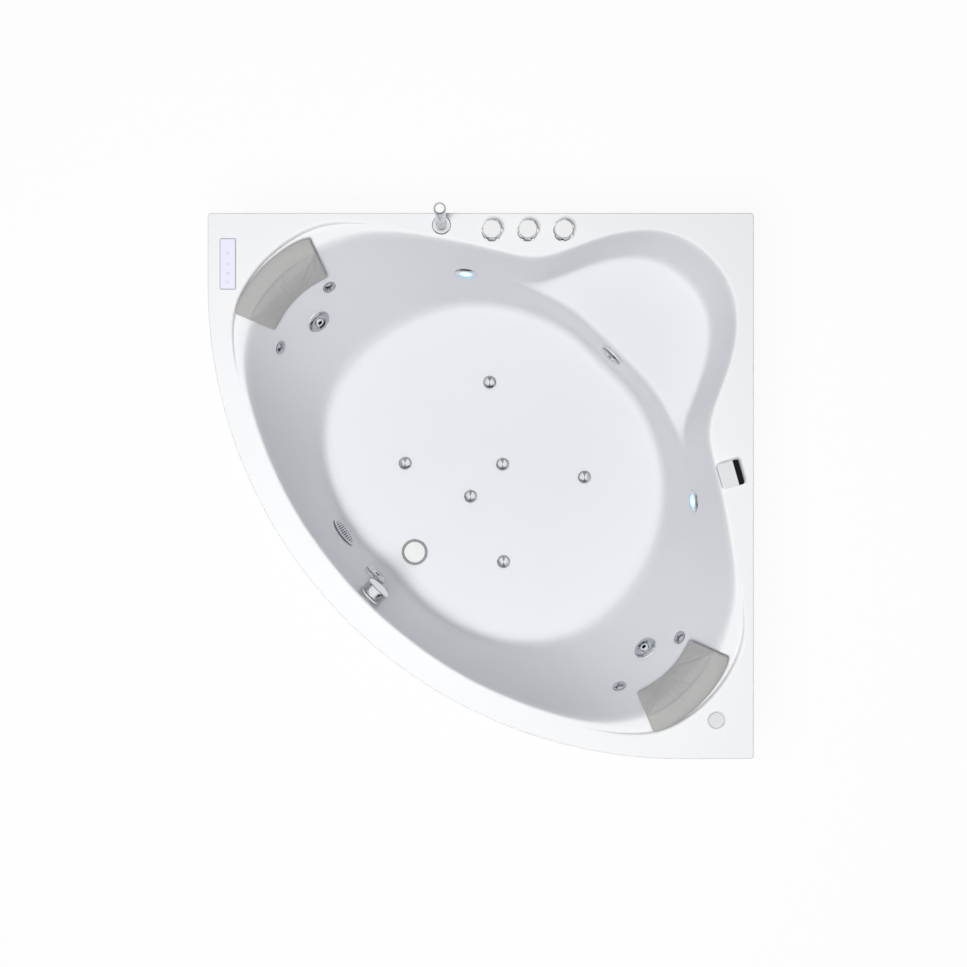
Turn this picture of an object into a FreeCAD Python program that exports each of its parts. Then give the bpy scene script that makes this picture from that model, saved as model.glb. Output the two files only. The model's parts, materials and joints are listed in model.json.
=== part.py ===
import FreeCAD, Part
import math
import os
import re
import types

import Sketcher

Vector = FreeCAD.Vector

# Driving dimensions in millimetres, angles in degrees.
SIZES = {
    # Tub shell: the square corner plan, its bowed front and the moulded basin.
    "tub_side": 1500,
    "front_straight": 200,
    "basin_depth": 450,
    "skin": 6,
    "lip_depth": 45,
    "deck_corner_radius": 10,
    "deck_edge_radius": 4,
    "basin_offset": 26,
    "floor_round": 54,
    "seat_edge_round": 36,
    "seat_foot_round": 40,
    "seat_wall_lean": 52,
    "rim_round": 14,
    "ledge_drop": 16,
    "ledge_width": 27,
    "ledge_angle": 91,
    "ledge_spread": 22,
    "seat_end_angle": 45,
    # Common fits and cutting overrun.
    "overrun": 20,
    "hole_clearance": 1,
    "running_gap": 0.3,
    "spindle_clearance": 0.05,
    "spot_depth": 0.8,
    # Main jets.
    "rear_jet_angle": 92.8,
    "front_jet_angle": 175.6,
    "jet_flange_radius": 34.5,
    "jet_flange_thickness": 3,
    "jet_barrel_radius": 23,
    "jet_barrel_length": 38,
    "jet_tail_radius": 13,
    "jet_tail_length": 20,
    "jet_bore_radius": 19.5,
    "jet_bore_depth": 24,
    "jet_throat_radius": 9,
    "jet_ring_edge": 2,
    "jet_ring_height": 7,
    "jet_ring_crown": 6,
    "jet_ring_sleeve": 12,
    "jet_mouth_radius": 21,
    "jet_mouth_depth": 4,
    "jet_ball_radius": 16,
    "jet_ball_inset": 1,
    "jet_ball_cut": 42,
    "jet_seat_radius": 11,
    "jet_nozzle_bore": 6.5,
    "jet_scallop_radius": 3.2,
    "jet_scallop_depth": 1.6,
    # Micro jets.
    "micro_upper_angle": 85.3,
    "micro_lower_angle": 103.3,
    "micro_flange_radius": 19.5,
    "micro_flange_thickness": 3,
    "micro_barrel_radius": 11,
    "micro_barrel_length": 30,
    "micro_tail_radius": 6,
    "micro_tail_length": 14,
    "micro_bore_radius": 2.5,
    "micro_recess_radius": 8,
    "micro_recess_depth": 6,
    "micro_face_radius": 15.5,
    "micro_face_height": 6,
    # Underwater lights.
    "light_angle": 51.8,
    "light_flange_radius": 31.5,
    "light_flange_thickness": 6,
    "light_flange_edge": 1.5,
    "light_barrel_radius": 26,
    "light_barrel_length": 30,
    "light_lens_radius": 22,
    "light_lens_seat": 8,
    "light_lens_crown": 3,
    "light_cup_radius": 19,
    "light_cup_depth": 26,
    # Suction fitting.
    "suction_angle": 155.9,
    "suction_flange_radius": 45,
    "suction_flange_thickness": 3,
    "suction_barrel_radius": 30,
    "suction_barrel_length": 32,
    "suction_tail_radius": 25,
    "suction_tail_length": 14,
    "suction_bore_radius": 21,
    "suction_grille_edge": 2,
    "suction_grille_height": 8,
    "suction_grille_wall": 3,
    "suction_slit_width": 3,
    "suction_slit_pitch": 7,
    "suction_slit_bridge": 5,
    # Overflow and its turning knob.
    "overflow_flange_radius": 32,
    "overflow_flange_thickness": 3,
    "overflow_hub_radius": 10,
    "overflow_hub_height": 6,
    "overflow_barrel_radius": 25,
    "overflow_barrel_length": 26,
    "overflow_tail_radius": 16,
    "overflow_tail_length": 10,
    "overflow_spindle_radius": 5,
    "overflow_spindle_length": 16,
    "overflow_knob_radius": 36,
    "overflow_knob_length": 27,
    "overflow_knob_round": 6,
    # Floor air jets.
    "floor_jet_flange_radius": 15,
    "floor_jet_flange_thickness": 2,
    "floor_jet_barrel_radius": 10,
    "floor_jet_barrel_length": 22,
    "floor_jet_tail_radius": 6,
    "floor_jet_tail_length": 6,
    "floor_jet_bore_radius": 4,
    "floor_jet_bore_depth": 14,
    "floor_jet_cap_radius": 19.3,
    "floor_jet_cap_lift": 1.5,
    "floor_jet_cap_edge": 1.5,
    "floor_jet_cap_height": 9,
    "floor_jet_stalk_length": 10,
    "floor_jet_back": 286,
    "floor_jet_side_out": 255,
    "floor_jet_side_up": 42,
    "floor_jet_axis_back": 55,
    "floor_jet_axis_front": 82,
    # Waste outlet and plug.
    "drain_reach": 320,
    "drain_flange_radius": 39,
    "drain_flange_thickness": 3,
    "drain_recess_radius": 33,
    "drain_recess_depth": 2,
    "drain_neck_radius": 26,
    "drain_neck_length": 34,
    "drain_bore_radius": 22,
    "drain_hub_radius": 8,
    "drain_hub_length": 12,
    "drain_rib": 3,
    "plug_thickness": 3,
    "plug_crown": 2,
    "plug_stem_radius": 5,
    "plug_stem_length": 26,
    "trap_radius": 32,
    "trap_top_gap": 4,
    "trap_bottom": 58,
    "trap_wall": 3,
    "waste_pipe_radius": 20,
    "waste_pipe_bore": 18,
    "waste_pipe_end_inset": 18,
    "waste_collar_radius": 24,
    "waste_collar_length": 24,
    "overflow_pipe_radius": 16,
    "overflow_pipe_setback": 17,
    # Taps.
    "tap_inset": 51,
    "tap_spacing": 98,
    "tap_middle": 128,
    "tap_third_turn": 24,
    "tap_hole_radius": 14,
    "escutcheon_radius": 28,
    "escutcheon_height": 4,
    "escutcheon_round": 2.5,
    "knob_gap": 1,
    "knob_collar_radius": 26,
    "knob_collar_height": 7,
    "knob_waist_radius": 20.5,
    "knob_waist_height": 15,
    "knob_cap_radius": 25.5,
    "knob_cap_start": 30,
    "knob_cap_top": 40,
    "knob_cap_round": 3,
    "knob_lug_reach": 30.75,
    "knob_lug_width": 9,
    "knob_lug_height": 16,
    "knob_stem_radius": 6,
    "knob_stem_length": 24,
    "valve_barrel_length": 34,
    "valve_block": 40,
    "valve_block_height": 42,
    "valve_tail_radius": 10.48,
    "valve_tail_length": 16,
    "mixer_pipe_radius": 9,
    "mixer_pipe_inset": 27,
    # Hand shower and its holder.
    "shower_place": -108,
    "shower_inset": 34,
    "shower_tilt": 5,
    "holder_flange_radius": 26,
    "holder_flange_height": 5,
    "holder_cup_radius": 18,
    "holder_cup_height": 26,
    "holder_barrel_radius": 17.5,
    "holder_barrel_length": 38,
    "shower_tail_radius": 12,
    "shower_tail_length": 30,
    "shower_shoulder_radius": 15.5,
    "shower_waist_radius": 13.8,
    "shower_waist_height": 62,
    "shower_head_radius": 16.2,
    "shower_head_start": 160,
    "shower_head_edge": 181,
    "shower_top": 185,
    # Waterfall spout.
    "spout_inset": 68.5,
    "spout_place": 32,
    "spout_turn": 16,
    "spout_depth": 60,
    "spout_width": 70,
    "spout_height": 34,
    "spout_corner": 7,
    "spout_slot_width": 56,
    "spout_slot_height": 6,
    "spout_slot_depth": 30,
    "spout_slot_rise": 14,
    "spout_strip_width": 16,
    "spout_strip_depth": 3,
    "spout_tail_radius": 14,
    "spout_tail_length": 44,
    # Air regulator.
    "air_inset_side": 104,
    "air_inset_front": 107,
    "air_flange_radius": 25,
    "air_flange_thickness": 3,
    "air_recess_radius": 22.3,
    "air_recess_depth": 2,
    "air_barrel_radius": 15,
    "air_barrel_length": 46,
    "air_cap_radius": 22,
    "air_cap_height": 7,
    "air_cap_round": 2,
    "air_stem_radius": 5,
    "air_stem_length": 20,
    # Touch control panel.
    "panel_inset_side": 56,
    "panel_inset_back": 141,
    "panel_width": 44,
    "panel_length": 140,
    "panel_corner": 4,
    "panel_flange_thickness": 4,
    "panel_flange_width": 3,
    "panel_glass_depth": 2,
    "panel_glass_rise": 0.6,
    "panel_border": 1.6,
    "panel_tray_depth": 22,
    # Lock nuts.
    "nut_margin": 6,
    "nut_thickness": 9,
    # Headrest pillows.
    "pillow_angle": 90.2,
    "pillow_shift": 30.5,
    "pillow_bend": 385,
    "pillow_half_span": 22.7,
    "pillow_outer_reach": 34.5,
    "pillow_outer_lift": 3,
    "pillow_outer_edge": 9,
    "pillow_ridge_reach": 15.5,
    "pillow_ridge_lift": 12,
    "pillow_top_crown": 3,
    "pillow_face_drop": 102,
    "pillow_face_run": 63,
    "pillow_face_crown": 5,
    "pillow_lower_drop": 18,
    "pillow_lower_run": 12,
    "pillow_back_gap": 8,
    "pillow_end_draw": 7,
    "pillow_end_thinning": 16,
    "pillow_gap": 0.4,
    "pillow_stand_off": 24,
    # Front apron and its screws.
    "apron_inset": 9,
    "apron_thickness": 5,
    "apron_lift": 22,
    "apron_top_gap": 2,
    "screw_head_radius": 8,
    "screw_head_height": 3,
    "screw_shank_radius": 2.4,
    "screw_length": 15,
    "screw_high": 470,
    "screw_low": 130,
    # Welded support frame of square tube.
    "tube_side": 30,
    "tube_wall": 2,
    "frame_inset": 56,
    "frame_height": 40,
    "front_rail_setback": 50,
    "rail_near": -60,
    "rail_far": 240,
    "tab_length": 12,
    "tab_side": 26,
    "stub_far": 120,
    "stub_near": -60,
    "shelf_thickness": 4,
    "shelf_depth": 280,
    "shelf_setback": 50,
    "box_shelf_width": 240,
    "board_radius": 320,
    "board_thickness": 18,
    "board_lift": 46,
    "board_hole_margin": 6,
    # Levelling feet.
    "foot_base_radius": 25,
    "foot_base_height": 8,
    "foot_cone_height": 8,
    "foot_neck_radius": 10,
    "foot_stud_radius": 6,
    "foot_stud_margin": 4,
    "foot_setback": 40,
    # Pump.
    "pump_axis_height": 92,
    "volute_radius": 80,
    "volute_length": 62,
    "volute_wall": 8,
    "volute_chamber_radius": 62,
    "pump_inlet_radius": 29,
    "pump_inlet_length": 30,
    "pump_inlet_bore": 21,
    "pump_outlet_radius": 20,
    "pump_outlet_rise": 20,
    "motor_radius": 64,
    "motor_length": 150,
    "motor_bore_radius": 40,
    "motor_bore_length": 118,
    "motor_front_wall": 12,
    "motor_fin_count": 20,
    "motor_fin_depth": 5,
    "motor_fin_width": 6,
    "motor_fin_margin": 16,
    "motor_foot_width": 110,
    "motor_foot_length": 100,
    "motor_foot_thickness": 8,
    "motor_pedestal_width": 60,
    "shaft_radius": 8,
    "impeller_radius": 58,
    "impeller_thickness": 14,
    "impeller_gap": 12,
    "armature_radius": 36,
    "armature_length": 80,
    "armature_gap": 14,
    # Air blower.
    "blower_set_out": 30,
    "blower_radius": 75,
    "blower_height": 120,
    "blower_wall": 5,
    "blower_floor": 8,
    "blower_intake_radius": 30,
    "blower_outlet_radius": 16,
    "blower_outlet_height": 22,
    "blower_outlet_reach": 95,
    "blower_rotor_radius": 60,
    "blower_rotor_height": 40,
    "blower_rotor_lift": 40,
    "blower_shaft_radius": 6,
    "blower_shaft_socket": 14,
    # Electric control box.
    "box_length": 240,
    "box_width": 160,
    "box_height": 90,
    "box_round": 8,
    "box_gland_radius": 11,
    "box_gland_length": 16,
    # Pipework.
    "pressure_radius": 16,
    "pressure_bore": 13,
    "pressure_branch": 21,
    "pressure_run": 60,
    "pressure_bend": 60,
    "suction_pipe_bore": 22,
    "suction_bend": 32,
    "suction_run": 26,
    "suction_fall": 31,
    "suction_approach": 100,
    "air_hose_radius": 6,
    "air_hose_lift": 19,
    "air_hub_radius": 22,
    "air_hub_half_height": 12,
    "air_hub_east": 110,
    "air_hub_north": -20,
    "air_feed_radius": 13,
    "air_bend": 14,
    "air_line_drop": 150,
}

# Outlines of the basin in plan: the angle from the corner diagonal, and the radius from the
# basin centre as a share of the tub side, at the rim, at seat level and at the floor.
outline_angles = (0, 10, 20, 30, 40, 50, 60, 75, 90, 105, 120, 135, 150, 165, 180)
rim_shares = (
    0.569, 0.549, 0.483, 0.417, 0.409, 0.427, 0.456, 0.516, 0.544, 0.523, 0.450, 0.390, 0.351, 0.329, 0.323
)
mid_shares = (
    0.340, 0.344, 0.355, 0.365, 0.380, 0.395, 0.411, 0.445, 0.463, 0.451, 0.404, 0.361, 0.329, 0.308, 0.299
)
foot_shares = (
    0.324, 0.330, 0.337, 0.342, 0.348, 0.353, 0.356, 0.358, 0.360, 0.360, 0.346, 0.324, 0.302, 0.282, 0.268
)

# How far below the rim the seat and the wall fittings lie, as shares of the basin's depth.
seat_drop_share = 0.44444
drop_shares = {
    "rear_jet": 0.52889,
    "seat_jet": 0.62222,
    "front_jet": 0.57556,
    "micro_upper": 0.37111,
    "micro_lower": 0.35778,
    "light": 0.48889,
    "suction": 0.69333,
    "overflow": 0.16667,
}

doc = FreeCAD.newDocument("corner_bath")
sheet = doc.addObject("Spreadsheet::Sheet", "sizes")
for row, (alias, amount) in enumerate(SIZES.items(), start=1):
    sheet.set(f"A{row}", alias)
    sheet.set(f"B{row}", str(amount))
    sheet.setAlias(f"B{row}", alias)
doc.recompute()
size = types.SimpleNamespace(**{alias: float(sheet.get(alias)) for alias in SIZES})

half_side = size.tub_side / 2
front_radius = size.tub_side - size.front_straight
front_centre = half_side - size.front_straight
frame_top = size.frame_height + 2 * size.tube_side
air_hose_height = frame_top + size.air_hose_lift
waste_pipe_height = air_hose_height - size.air_hose_radius - size.hole_clearance - size.waste_pipe_radius
board_base = frame_top + size.board_lift
floor_height = board_base + size.board_thickness + size.skin
rim_height = floor_height + size.basin_depth
seat_height = rim_height - seat_drop_share * size.basin_depth
basin_centre = Vector(size.basin_offset, size.basin_offset, 0)
nodes = []


# Drawing aids: formulas of size names, closed outlines, turned and padded bodies, placed copies.
def bound(formula):
    return re.sub(r"[a-z][a-z_]+", lambda word: "sizes." + word[0], formula)


def worked(formula):
    return float(sheet.evalExpression(bound(formula)))


def origin_plane(body, role):
    return next(plane for plane in body.Origin.OriginFeatures if plane.Role == role)


def draw(sketch, outline):
    """Close an anticlockwise outline; a third entry makes the way to that corner an arc of that radius."""
    corners = [Vector(worked(corner[0]), worked(corner[1]), 0) for corner in outline]
    count = len(corners)
    for index in range(count):
        start, end = corners[index], corners[(index + 1) % count]
        target = outline[(index + 1) % count]
        if len(target) == 2:
            sketch.addGeometry(Part.LineSegment(start, end))
            continue
        radius = worked(target[2])
        chord = end - start
        rise = math.sqrt(max(radius**2 - (chord.Length / 2) ** 2, 0))
        centre = (start + end) / 2 + Vector(-chord.y, chord.x, 0).normalize() * rise
        first = math.atan2(start.y - centre.y, start.x - centre.x)
        last = math.atan2(end.y - centre.y, end.x - centre.x)
        if last < first:
            last += 2 * math.pi
        circle = Part.Circle(centre, Vector(0, 0, 1), radius)
        sketch.addGeometry(Part.ArcOfCircle(circle, first, last))
    for index in range(count):
        sketch.addConstraint(Sketcher.Constraint("Coincident", index, 2, (index + 1) % count, 1))
    for index, corner in enumerate(outline):
        for kind, axis, formula in (("DistanceX", -2, corner[0]), ("DistanceY", -1, corner[1])):
            if formula == "0":
                sketch.addConstraint(Sketcher.Constraint("PointOnObject", index, 1, axis))
                continue
            place = sketch.addConstraint(Sketcher.Constraint(kind, -1, 1, index, 1, worked(formula)))
            sketch.setExpression(f"Constraints[{place}]", bound(formula))
    for index in range(count):
        target = outline[(index + 1) % count]
        if len(target) == 3:
            place = sketch.addConstraint(Sketcher.Constraint("Radius", index, worked(target[2])))
            sketch.setExpression(f"Constraints[{place}]", bound(target[2]))


def new_body(name):
    body = doc.addObject("PartDesign::Body", "Body_" + name)
    body.Label = name
    return body


def new_sketch(body, name, role, outline):
    sketch = body.newObject("Sketcher::SketchObject", "Sketch_" + name)
    sketch.AttachmentSupport = [(origin_plane(body, role), "")]
    sketch.MapMode = "FlatFace"
    draw(sketch, outline)
    return sketch


def turned(name, outline):
    """A piece turned about its own Z axis from a half section of radius and height formulas."""
    body = new_body(name)
    sketch = new_sketch(body, name, "XZ_Plane", outline)
    turn = body.newObject("PartDesign::Revolution", "Turn_" + name)
    turn.Profile = sketch
    turn.ReferenceAxis = (sketch, ["V_Axis"])
    turn.Angle = 360
    doc.recompute()
    return body


def padded_plate(name, outline, thickness):
    body = new_body(name)
    sketch = new_sketch(body, name, "XY_Plane", outline)
    pad = body.newObject("PartDesign::Pad", "Pad_" + name)
    pad.Profile = sketch
    pad.setExpression("Length", bound(thickness))
    doc.recompute()
    return body


def dome(edge, rise):
    """The radius of a dome that rises from an edge circle to its top on the axis."""
    return f"(({edge})^2 + ({rise})^2) / (2 * ({rise}))"


def ball(name, radius, height):
    sphere = doc.addObject("Part::Sphere", "Ball_" + name)
    sphere.setExpression("Radius", bound(radius))
    sphere.setExpression("Placement.Base.z", bound(height))
    doc.recompute()
    return sphere


def block(name, length, width, height, base):
    box = doc.addObject("Part::Box", "Block_" + name)
    for side, formula in (("Length", length), ("Width", width), ("Height", height)):
        box.setExpression(side, bound(formula))
    for axis, formula in zip("xyz", base):
        box.setExpression("Placement.Base." + axis, bound(formula))
    doc.recompute()
    return box


def rod(name, radius, length, height):
    cylinder = doc.addObject("Part::Cylinder", "Rod_" + name)
    cylinder.setExpression("Radius", bound(radius))
    cylinder.setExpression("Height", bound(length))
    cylinder.setExpression("Placement.Base.z", bound(height))
    doc.recompute()
    return cylinder


def cut(name, base, tool):
    result = doc.addObject("Part::Cut", "Cut_" + name)
    result.Base = base
    result.Tool = tool
    result.Label = name
    doc.recompute()
    return result


def fused(name, pieces):
    result = doc.addObject("Part::MultiFuse", "Fuse_" + name)
    result.Shapes = pieces
    result.Refine = True
    result.Label = name
    doc.recompute()
    return result


def placed_shape(master, placement):
    shape = master.Shape.copy()
    shape.Placement = placement.multiply(shape.Placement)
    return shape


def node(name, shape, placement=None):
    """Hand in a shape as the piece of that name."""
    piece = doc.addObject("Part::Feature", "Piece_" + name)
    piece.Label = name
    piece.Shape = shape
    if placement is not None:
        piece.Placement = placement.multiply(piece.Placement)
    nodes.append(piece)
    return piece


def group(name, shapes):
    return node(name, Part.makeCompound(list(shapes)))


def hex_nut(name, hole):
    """A six-sided lock nut whose front face lies at height zero."""
    flat_share = math.cos(math.pi / 6)
    corner = (hole + size.nut_margin) / flat_share
    points = [
        Vector(corner * math.cos(math.pi * turn / 3), corner * math.sin(math.pi * turn / 3), 0)
        for turn in range(7)
    ]
    prism = Part.Face(Part.makePolygon(points)).extrude(Vector(0, 0, -size.nut_thickness))
    bore = Part.makeCylinder(
        hole + size.running_gap,
        size.nut_thickness + 2 * size.overrun,
        Vector(0, 0, -size.nut_thickness - size.overrun),
    )
    nut = doc.addObject("Part::Feature", "Nut_" + name)
    nut.Shape = prism.cut(bore)
    return nut


def polar(angle, radius, height):
    """A point at an angle from the corner diagonal and a radius from the basin centre."""
    turn = math.radians(45 + angle)
    return basin_centre + Vector(radius * math.cos(turn), radius * math.sin(turn), height)


def pipe(points, radius, bend, bore=0):
    """A tube along straight runs that are joined by tangent arcs."""
    edges = []
    start = points[0]
    for index in range(1, len(points) - 1):
        before = points[index - 1] - points[index]
        after = points[index + 1] - points[index]
        half_turn = (math.pi - before.getAngle(after)) / 2
        longest_share = 0.45
        reach = min(bend * math.tan(half_turn), longest_share * min(before.Length, after.Length))
        enter = points[index] + before.normalize() * reach
        leave = points[index] + after.normalize() * reach
        inward = (before + after).normalize()
        arc_radius = reach / math.tan(half_turn)
        middle = points[index] + inward * (arc_radius / math.cos(half_turn) - arc_radius)
        edges.append(Part.LineSegment(start, enter).toShape())
        edges.append(Part.Arc(enter, middle, leave).toShape())
        start = leave
    edges.append(Part.LineSegment(start, points[-1]).toShape())
    path = Part.Wire(edges)
    aim = points[1] - points[0]

    def sweep(circle_radius):
        circle = Part.Wire(Part.makeCircle(circle_radius, points[0], aim))
        return path.makePipeShell([circle], True, True)

    return sweep(radius).cut(sweep(bore)) if bore else sweep(radius)


def elbowed(points, radius):
    """Straight tubes with a round elbow at each corner, to be joined by the piece that holds them."""
    pieces = [Part.makeSphere(radius, point) for point in points[1:-1]]
    for start, end in zip(points, points[1:]):
        pieces.append(Part.makeCylinder(radius, (end - start).Length, start, end - start))
    return pieces


# Tub shell: one moulded skin, with the corner seat, the two backrests and a turned-down lip.
def outline_curve(shares):
    curve = Part.BSplineCurve()
    curve.interpolate(
        Points=[Vector(angle, share * size.tub_side, 0) for angle, share in zip(outline_angles, shares)],
        Parameters=[float(angle) for angle in outline_angles],
        InitialTangent=Vector(1, 0, 0),
        FinalTangent=Vector(1, 0, 0),
    )
    return lambda angle: curve.value(min(abs(angle), outline_angles[-1])).y


rim_radius = outline_curve(rim_shares)
mid_radius = outline_curve(mid_shares)
foot_radius = outline_curve(foot_shares)


def eased(share):
    share = max(0, min(1, share))
    return share * share * (3 - 2 * share)


def ledge_share(angle):
    """How far the lowered crescent behind a pillow has come up, from none to one."""
    away_share = abs(abs(angle) - size.ledge_angle) / size.ledge_spread
    rise_share = 0.45
    return eased((1 - away_share) / rise_share)


def basin_profile(angle):
    """The net points of the basin skin in one upright plane, from the floor out to the deck."""
    rim, mid, foot = rim_radius(angle), mid_radius(angle), foot_radius(angle)
    has_seat = abs(angle) < size.seat_end_angle
    seat_wall = max(rim - size.seat_wall_lean, mid) if has_seat else mid
    seat_width = seat_wall - mid
    full_seat = 2 * (size.seat_edge_round + size.seat_foot_round)
    width_share = min(1, seat_width / full_seat)
    seat_share = eased(width_share)
    deck = rim_height

    def wall(height):
        if height < seat_height:
            return foot + (mid - foot) * (height - floor_height) / (seat_height - floor_height)
        return seat_wall + (rim - seat_wall) * (height - seat_height) / (deck - seat_height)

    floor_start_shares = (2.2, 1.6, 1, 0)
    rows = [(foot - share * size.floor_round, floor_height) for share in floor_start_shares]
    low = floor_height + size.floor_round
    high = seat_height - size.seat_edge_round
    rows += [(wall(height), height) for height in (low, (low + high) / 2, high)]
    plain_heights = (
        seat_height - 0.45 * size.seat_edge_round,
        seat_height - 0.10 * size.seat_edge_round,
        seat_height + 0.20 * size.seat_foot_round,
        seat_height + 0.55 * size.seat_foot_round,
    )
    seat_radii = (
        mid,
        mid + size.seat_edge_round * width_share,
        seat_wall - size.seat_foot_round * width_share,
        seat_wall,
    )
    for height, radius in zip(plain_heights, seat_radii):
        rows.append(
            (
                wall(height) + (radius - wall(height)) * seat_share,
                height + (seat_height - height) * seat_share,
            )
        )
    drop = size.ledge_drop * ledge_share(angle)
    width = size.ledge_width * ledge_share(angle)
    above_seat = seat_height + size.seat_foot_round
    below_rim_shares = (2.4, 1)
    below_rim = [deck - share * size.rim_round - drop for share in below_rim_shares]
    rows += [(wall(height), height) for height in (above_seat, (above_seat + below_rim[0]) / 2, *below_rim)]
    rows.append((rim, deck - drop))
    ledge_shares = (0.9, 1.2)
    rows += [(rim + share * size.rim_round + width, deck - drop) for share in ledge_shares]
    past_rim_shares = (1.3, 2, 2.6)
    rows += [(rim + share * size.rim_round + width, deck) for share in past_rim_shares]
    return rows


def thickened(rows, thickness):
    """The same profile on the underside, a wall thickness away."""

    def outward(start, end):
        run, rise = end[0] - start[0], end[1] - start[1]
        length = math.hypot(run, rise)
        return rise / length, -run / length

    last = len(rows) - 1
    result = []
    for index, (radius, height) in enumerate(rows):
        before = outward(rows[max(index - 1, 0)], rows[max(index, 1)])
        after = outward(rows[min(index, last - 1)], rows[min(index + 1, last)])
        miter = thickness / (1 + before[0] * after[0] + before[1] * after[1])
        result.append((radius + (before[0] + after[0]) * miter, height + (before[1] + after[1]) * miter))
    return result


def column_angles():
    """Net columns round the basin, closer together at the seat; the seam lies on a plain wall."""
    half_count = 32
    near_share, seam_angle = 0.6, 128
    steps = [step / half_count for step in range(-half_count, half_count)]
    angles = [180 * (near_share * step + (1 - near_share) * step * abs(step)) for step in steps]
    seam = min(range(len(angles)), key=lambda index: abs(angles[index] - seam_angle))
    return angles[seam:] + angles[:seam]


def basin_skin(thickness):
    poles = []
    for angle in column_angles():
        rows = basin_profile(angle)
        if thickness:
            rows = thickened(rows, thickness)
        poles.append([polar(angle, radius, height) for radius, height in rows])
    columns, rows = len(poles), len(poles[0])
    degree = 3
    surface = Part.BSplineSurface()
    surface.buildFromPolesMultsKnots(
        poles,
        [1] * (columns + 1),
        [degree + 1] + [1] * (rows - degree - 1) + [degree + 1],
        [float(knot) for knot in range(columns + 1)],
        [float(knot) for knot in range(rows - degree + 1)],
        True,
        False,
        degree,
        degree,
    )
    return surface


def quilt(surface):
    """A skin as small faces, four columns wide and one row high, and the rings along its two ends."""
    patch_columns = 4
    columns, rows = [round(end) for end in surface.bounds()[1::2]]
    starts = range(0, columns, patch_columns)
    faces = []
    for column in starts:
        for row in range(rows):
            patch = surface.copy()
            patch.segment(column, column + patch_columns, row, row + 1)
            faces.append(patch.toShape())
    rings = []
    for row in (0, rows):
        edges = []
        for column in starts:
            edge = surface.vIso(row)
            edge.segment(column, column + patch_columns)
            edges.append(edge.toShape())
        rings.append(Part.Wire(edges))
    return faces, rings


def arc_between(centre, radius, first, last, height):
    points = []
    for angle in (first, (first + last) / 2, last):
        turn = math.radians(angle)
        points.append(Vector(centre[0] + radius * math.cos(turn), centre[1] + radius * math.sin(turn), height))
    return Part.Arc(*points).toShape(), points[0], points[-1]


def deck_outline(inset, height):
    """The square corner plan with the bowed front, drawn in by an inset."""
    half = half_side - inset
    least_corner_share = 0.2
    corner = max(size.deck_corner_radius - inset, least_corner_share * size.deck_corner_radius)
    arcs = [
        arc_between((half - corner, half - corner), corner, 90, 0, height),
        arc_between((half - corner, corner - half), corner, 0, -90, height),
        arc_between((front_centre, front_centre), front_radius - inset, 270, 180, height),
        arc_between((corner - half, half - corner), corner, 180, 90, height),
    ]
    edges = []
    for index, (arc, _, end) in enumerate(arcs):
        edges.append(arc)
        edges.append(Part.LineSegment(end, arcs[(index + 1) % len(arcs)][1]).toShape())
    return Part.Wire(edges)


basin_surface = basin_skin(0)
basin_face = basin_surface.toShape()


def shell_blank():
    """The deck and its turned-down lip from one rounded block, sewn to the basin's two skins."""
    deck, under_deck = rim_height, rim_height - size.skin
    lip_foot = deck - size.lip_depth
    outer_foot, inner_foot = deck_outline(0, lip_foot), deck_outline(size.skin, lip_foot)
    block = Part.Face(outer_foot).extrude(Vector(0, 0, size.lip_depth))
    top_edges = [edge for edge in block.Edges if edge.BoundBox.ZMin > (deck + lip_foot) / 2]
    block = block.makeFillet(size.deck_edge_radius, top_edges)
    level_faces = sorted(block.Faces, key=lambda face: face.CenterOfMass.z)
    foot_face, deck_face = level_faces[0], level_faces[-1]
    basin_faces, (floor_ring, deck_ring) = quilt(basin_surface)
    under_faces, (under_floor_ring, under_deck_ring) = quilt(basin_skin(size.skin))
    maker = "Part::FaceMakerBullseye"
    faces = [face for face in block.Faces if not (face.isSame(foot_face) or face.isSame(deck_face))]
    faces += inner_foot.extrude(Vector(0, 0, size.lip_depth - size.skin)).Faces
    faces += basin_faces + under_faces
    faces += [
        Part.Face(floor_ring),
        Part.Face(under_floor_ring),
        Part.Face([deck_face.OuterWire, deck_ring], maker),
        Part.Face([deck_outline(size.skin, under_deck), under_deck_ring], maker),
        Part.Face([outer_foot, inner_foot], maker),
    ]
    skin = Part.makeShell(faces)
    skin.sewShape()
    solid = Part.makeSolid(skin)
    if solid.Volume < 0:
        solid.reverse()
    return solid


# Places of the fittings: on the wall, on the deck and on the floor.
def wall_place(angle, fitting, flange_radius):
    """The flat seat of a wall fitting: its Z axis points into the basin and its Y axis up the wall."""
    height = rim_height - drop_shares[fitting] * size.basin_depth
    axis_point = basin_centre + Vector(0, 0, height)
    ray = Part.LineSegment(axis_point, polar(angle, size.tub_side, height)).toShape()
    point = ray.distToShape(basin_face)[1][0][1]
    inward = basin_surface.normal(*basin_surface.parameter(point))
    if inward.dot(axis_point - point) < 0:
        inward = inward * -1
    up = (Vector(0, 0, 1) - inward * inward.z).normalize()
    across = up.cross(inward)
    sink = 0
    samples = 16
    for step in range(samples):
        turn = 2 * math.pi * step / samples
        around = across * math.cos(turn) + up * math.sin(turn)
        edge_point = point + around * flange_radius
        on_wall = basin_surface.value(*basin_surface.parameter(edge_point))
        sink = max(sink, (edge_point - on_wall).dot(inward))
    rotation = FreeCAD.Rotation(across, up, inward, "ZYX")
    return FreeCAD.Placement(point - inward * (sink + size.spot_depth), rotation)


def deck_place(east, north, turn=0):
    rotation = FreeCAD.Rotation(Vector(0, 0, 1), turn)
    return FreeCAD.Placement(Vector(east, north, rim_height), rotation)


def floor_place(east, north, drop=0):
    base = basin_centre + Vector(east, north, floor_height - drop)
    return FreeCAD.Placement(base, FreeCAD.Rotation())


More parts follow.
